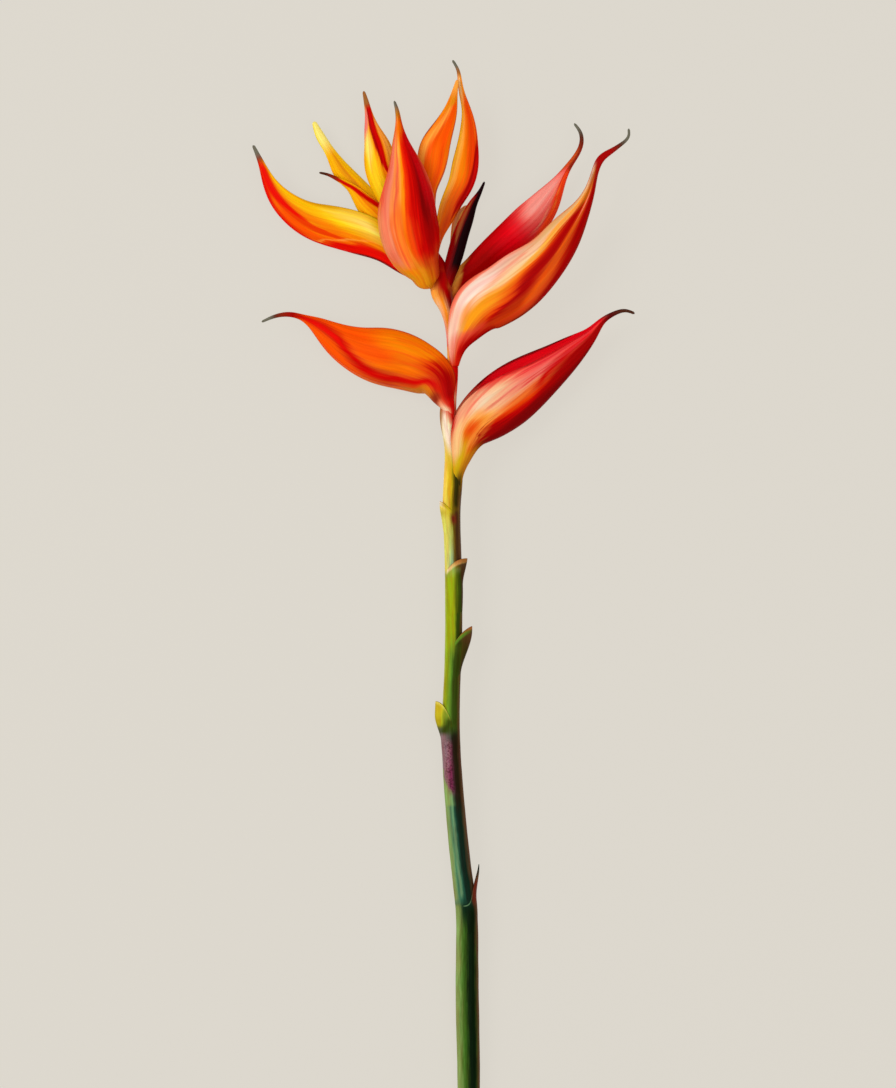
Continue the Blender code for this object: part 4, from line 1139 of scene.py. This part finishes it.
def sheath(name, low, back, tip, power, blunt, toward, bend, bent, flare, merge):
    """A sheath round the stem from low to its mouth, which slants from back up to tip.

    It stands off the stem only where its lean is above merge, and has grown into the stem elsewhere.
    """
    turn = np.radians(np.linspace(-SHEATH_WRAP, SHEATH_WRAP, SHEATH_COLUMNS))[:, None]
    lean = (1 + np.cos(turn)) / 2
    edge = back + (tip - back) * (1 - (1 - lean**power) ** blunt)
    step = np.linspace(0.0, 1.0, int((tip - low) / SHEATH_ROW_SPACING))[None]
    y = low + (edge - low) * step
    x, z, radius = (np.interp(y, STEM_ROWS[:, 1], STEM_ROWS[:, k]) for k in (0, 2, 3))
    free = soft_rise(step * RISE_SPEED) * soft_rise((lean - merge) / MERGE_WIDTH)
    stand = (SHEATH_SUNK + SHEATH_STAND) * free - SHEATH_SUNK
    away = flare * lean**TIP_WIDTH * soft_rise((y - bend) / (bent - bend))

    def wall(inward):
        """One wall of the sheath, so far inside its outer skin."""
        reach = radius + stand - inward
        return np.stack([x + toward * (reach * np.cos(turn) + away), y, z + reach * np.sin(turn)], axis=-1)

    lips = [wall(SHEATH_WALL * share)[:, -1:] + [0.0, SHEATH_WALL / 2, 0.0] for share in (0.3, 0.7)]
    rings = np.concatenate([wall(0.0), *lips, wall(SHEATH_WALL)[:, ::-1]], axis=1)
    across = np.clip(toward * -np.cos(turn) * (1 + away / radius), -1.0, 1.0) / 2 + 0.5

    def loop(values):
        """The values of the outer wall, round both walls."""
        values = np.broadcast_to(values, y.shape)
        return np.concatenate([values, values[:, -1:], values[:, -1:], values[:, ::-1]], axis=1)

    inside = np.concatenate([np.zeros_like(y), np.full((len(turn), 2), 0.5), np.ones_like(y)], axis=1)
    maps = (loop(climb(y)), loop(across)), (loop(step), loop(turn / (2 * math.pi) + 0.5))
    return skin_mesh(name, rings, *maps, inside)


# The dark_moss and dark_brown bands on the right of the scale and upper sheaths carry on the stem's dark
# strip, and are partly painted shade as well.
SHEATH_MARKS = {
    "spike_sheath": """
    red_brown 0.9 fade=3: 136 -90 25, 145 -95 40, 149 -100 50
    deep_pine 0.9 map=arc: 93 0 10, 100 0 15
    sage 0.9 strength=0.6 fade=0.01 map=arc: 98 45 15, 100 45 15""",
    "bud_sheath": """
    gold_green 1 fade=1.5: 234 90 90, 247 90 90
    ochre 1 strength=0.7: 233 100 40, 238 100 20
    moss 1 strength=0.8: 233 40 50, 240 35 40, 246 50 20
    dark_moss 1: 229 60 80, 232 50 70, 238 0 40
    straw 0.9 strength=0.8 fade=0.02 map=arc: 97.5 10 25, 100 10 25""",
    "scale_sheath": """
    dark_moss 0.9 fade=8: 258 -35 40, 280 -45 50
    dark_olive 1 strength=0.85 fade=0.1 map=arc: 30 0 25, 90 0 35, 100 0 40
    rim_brown 1 fade=0.1 map=arc: 62 0 5, 85 0 18, 100 0 35
    moss 1 fade=0.03 map=arc: 93 35 20, 100 35 25
    terracotta 0.9 fade=0.02 map=arc: 96 5 12, 100 10 30""",
    "upper_sheath": """
    dark_moss 1 fade=6: 286 -80 40, 318 -70 45
    dark_brown 1 fade=12: 290 -100 10, 308 -100 14, 326 -100 30
    lime 1 strength=0.7 fade=8: 290 30 50, 326 40 60
    warm_cream 1 fade=0.03 map=arc: 95 70 25, 100 70 30
    tan 0.9 fade=0.02 map=arc: 95 40 20, 100 40 25
    terracotta 1 fade=0.015 map=arc: 95.5 15 20, 100 20 40""",
    "top_collar": """
    straw 1 strength=0.5 fade=0.2 map=arc: 60 0 35, 100 0 35
    milk 1 fade=0.04 map=arc: 92 0 20, 100 0 25
    ochre 1 fade=0.03 map=arc: 93 35 15, 100 35 15""",
}
sheaths = []
for number, (name, shape) in enumerate(SHEATHS.items()):
    marks = STEM_BANDS + marks_of(SHEATH_MARKS[name], climb)
    skin = painted_skin(name + "_skin", marks=marks, seed=SHEATH_SEED + number, **STEM_SKIN)
    piece = sheath("fine_" + name, *rows_of(shape)[0])
    piece.data.materials.append(skin)
    sheaths.append(piece)
    print(name, len(piece.data.polygons), "faces")

# %% [markdown]
# The cut end is a pale disc of pith with hundreds of bundles of fibre in it, packed closer near the rind.
# Geometry Nodes scatter small domes over the disc with a fixed seed and a least distance between them.

# %% The cut end of the stem
PITH_RADIUS = 5.75
PITH_SIDES = 64
PITH_STANDS_OUT = 0.1
BUNDLE_RADIUS = 0.22
BUNDLE_FLATNESS = (1.0, 1.0, 0.5)
BUNDLE_GAP = 0.62
BUNDLES_PER_SQUARE_METRE = 9e6
FINE_BUMP = 0.0002


def speckled(name, base, spot, scale, rough):
    """A plain living tissue: two colours in fine noise."""
    material, tree, shader = new_material(name)
    noise = object_noise(tree, scale, 4.0)
    put(mix_colour(tree, smooth_step(noise, 0.35, 0.65), paint(base), paint(spot)), shader["Base Color"])
    put(noise * 0.3 + rough, shader["Roughness"])
    put(bump_of(tree, noise, 1.0, FINE_BUMP), shader["Normal"])
    return material


def build_cut():
    """A disc of pith with bundles of fibre scattered over it."""
    tree, say, end = new_tree(
        "Geometry", "Cut end",
        GEOMETRY | {"Float": "Radius, Bundle radius, Least gap", "Int": "Seed", "Material": "Pith, Fibre"},
        GEOMETRY)
    disc = node_in(tree, "GeometryNodeMeshCircle", {"fill_type": "TRIANGLE_FAN"}, Vertices=PITH_SIDES,
                   Radius=say["Radius"]).outputs[0]
    spots = node_in(tree, "GeometryNodeDistributePointsOnFaces", {"distribute_method": "POISSON"}, Mesh=disc,
                    Distance_Min=say["Least gap"], Density_Max=BUNDLES_PER_SQUARE_METRE, Seed=say["Seed"])
    dome = node_in(tree, "GeometryNodeMeshIcoSphere", Radius=say["Bundle radius"], Subdivisions=1)
    marked = node_in(tree, "GeometryNodeStoreNamedAttribute", {"data_type": "BOOLEAN", "domain": "FACE"},
                     Geometry=dome.outputs[0], Name="bundle", Value=True)
    domes = node_in(tree, "GeometryNodeInstanceOnPoints", Points=spots.outputs[0], Instance=marked.outputs[0],
                    Scale=BUNDLE_FLATNESS)
    both = tree.nodes.new("GeometryNodeJoinGeometry")
    put(disc, both.inputs[0])
    put(domes.outputs[0], both.inputs[0])
    turned = node_in(tree, "GeometryNodeTransform", Geometry=both.outputs[0], Rotation=(math.pi / 2, 0, 0),
                     Translation=(CUT_END[0], CUT_END[1] - PITH_STANDS_OUT * MM, STEM[0][2] * MM))
    pith = real_with(tree, turned.outputs[0], say["Pith"])
    fibre = node_in(tree, "GeometryNodeSetMaterial", Geometry=pith, Material=say["Fibre"],
                    Selection=read_attribute(tree, "bundle", "BOOLEAN"))
    put(fibre.outputs[0], end.inputs[0])
    return tree


cut_end = grown(add_object("cut_end"), build_cut(), Radius=PITH_RADIUS * MM, Bundle_radius=BUNDLE_RADIUS * MM,
                Least_gap=BUNDLE_GAP * MM, Seed=5, Pith=speckled("pith", "pale_lime", "cream", 900.0, 0.5),
                Fibre=speckled("fibre_bundle", "tan", "bark_brown", 1500.0, 0.5))
print("cut end", len(cut_end.data.polygons), "faces")

# %% [markdown]
# ## The picture
#
# The flower lies on pale paper and the camera looks straight down at it, so the table fills the frame. The
# paper glows a little of its own light, which keeps it as even as a sheet on a light box.

# %% Floor, light and camera
FLOOR_SIZE = 8.0
FLOOR_DROP = 0.3
GLOW = 0.898
PAPER_SHARE = 0.1
DAYLIGHT = (1.0, 0.985, 0.96, 1.0)
DAYLIGHT_STRENGTH = 0.52
CAMERA_DISTANCE = 3.0
FRAME_MIDDLE = (-11.55, 333.85, 20.0)
FRAME_HEIGHT = 598.4
SENSOR = 36.0

half = FLOOR_SIZE / 2
low = -FLOOR_DROP * MM
floor = add_object("paper")
floor.data.from_pydata([(-half, -half, low), (half, -half, low), (half, half, low), (-half, half, low)], [],
                       [(0, 1, 2, 3)])
paper, tree, shader = new_material("paper")
shader["Base Color"].default_value = [c * PAPER_SHARE for c in paint("paper")[:3]] + [1.0]
shader["Emission Color"].default_value = paint("paper")
shader["Emission Strength"].default_value = GLOW
shader["Roughness"].default_value = 0.9
shader["Specular IOR Level"].default_value = 0.0
floor.data.materials.append(paper)

world = bpy.data.worlds.new("studio")
world.use_nodes = True
world.node_tree.nodes["Background"].inputs["Color"].default_value = DAYLIGHT
world.node_tree.nodes["Background"].inputs["Strength"].default_value = DAYLIGHT_STRENGTH
bpy.context.scene.world = world


def soft_light(name, place, size, energy, aim=(0.0, 0.1, 0.0)):
    """A square soft light at a place, aimed at the middle of the flower, in metres."""
    lamp = bpy.data.lights.new(name, "AREA")
    lamp.size = size
    lamp.energy = energy
    item = add_object(name, lamp)
    item.location = place
    item.rotation_euler = (Vector(aim) - Vector(place)).to_track_quat("-Z", "Y").to_euler()


soft_light("key", (-1.2, 0.5, 1.6), 1.0, 18.0)
soft_light("fill", (0.5, -0.3, 2.0), 1.4, 10.5)
middle = np.array(FRAME_MIDDLE) * MM + CUT_END
camera = add_object("camera", bpy.data.cameras.new("camera"))
camera.data.sensor_width = SENSOR
camera.data.lens = SENSOR * CAMERA_DISTANCE / (FRAME_HEIGHT * MM)
camera.location = middle + np.array([0.0, 0.0, CAMERA_DISTANCE])
bpy.context.scene.camera = camera
bpy.context.scene.view_settings.view_transform = "Standard"
print("lens", round(camera.data.lens, 1), "mm; frame middle", [round(float(v), 4) for v in middle])

# %% [markdown]
# Last, each piece is put under the root's empty, and the plain solid it stands for is hidden.

# %% Put the pieces in the frame
for name, piece in flower.items():
    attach(piece, "root")
    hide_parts(name)
for piece in [shoot] + sheaths:
    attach(piece, "root")
    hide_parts("stem")
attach(cut_end, "root")
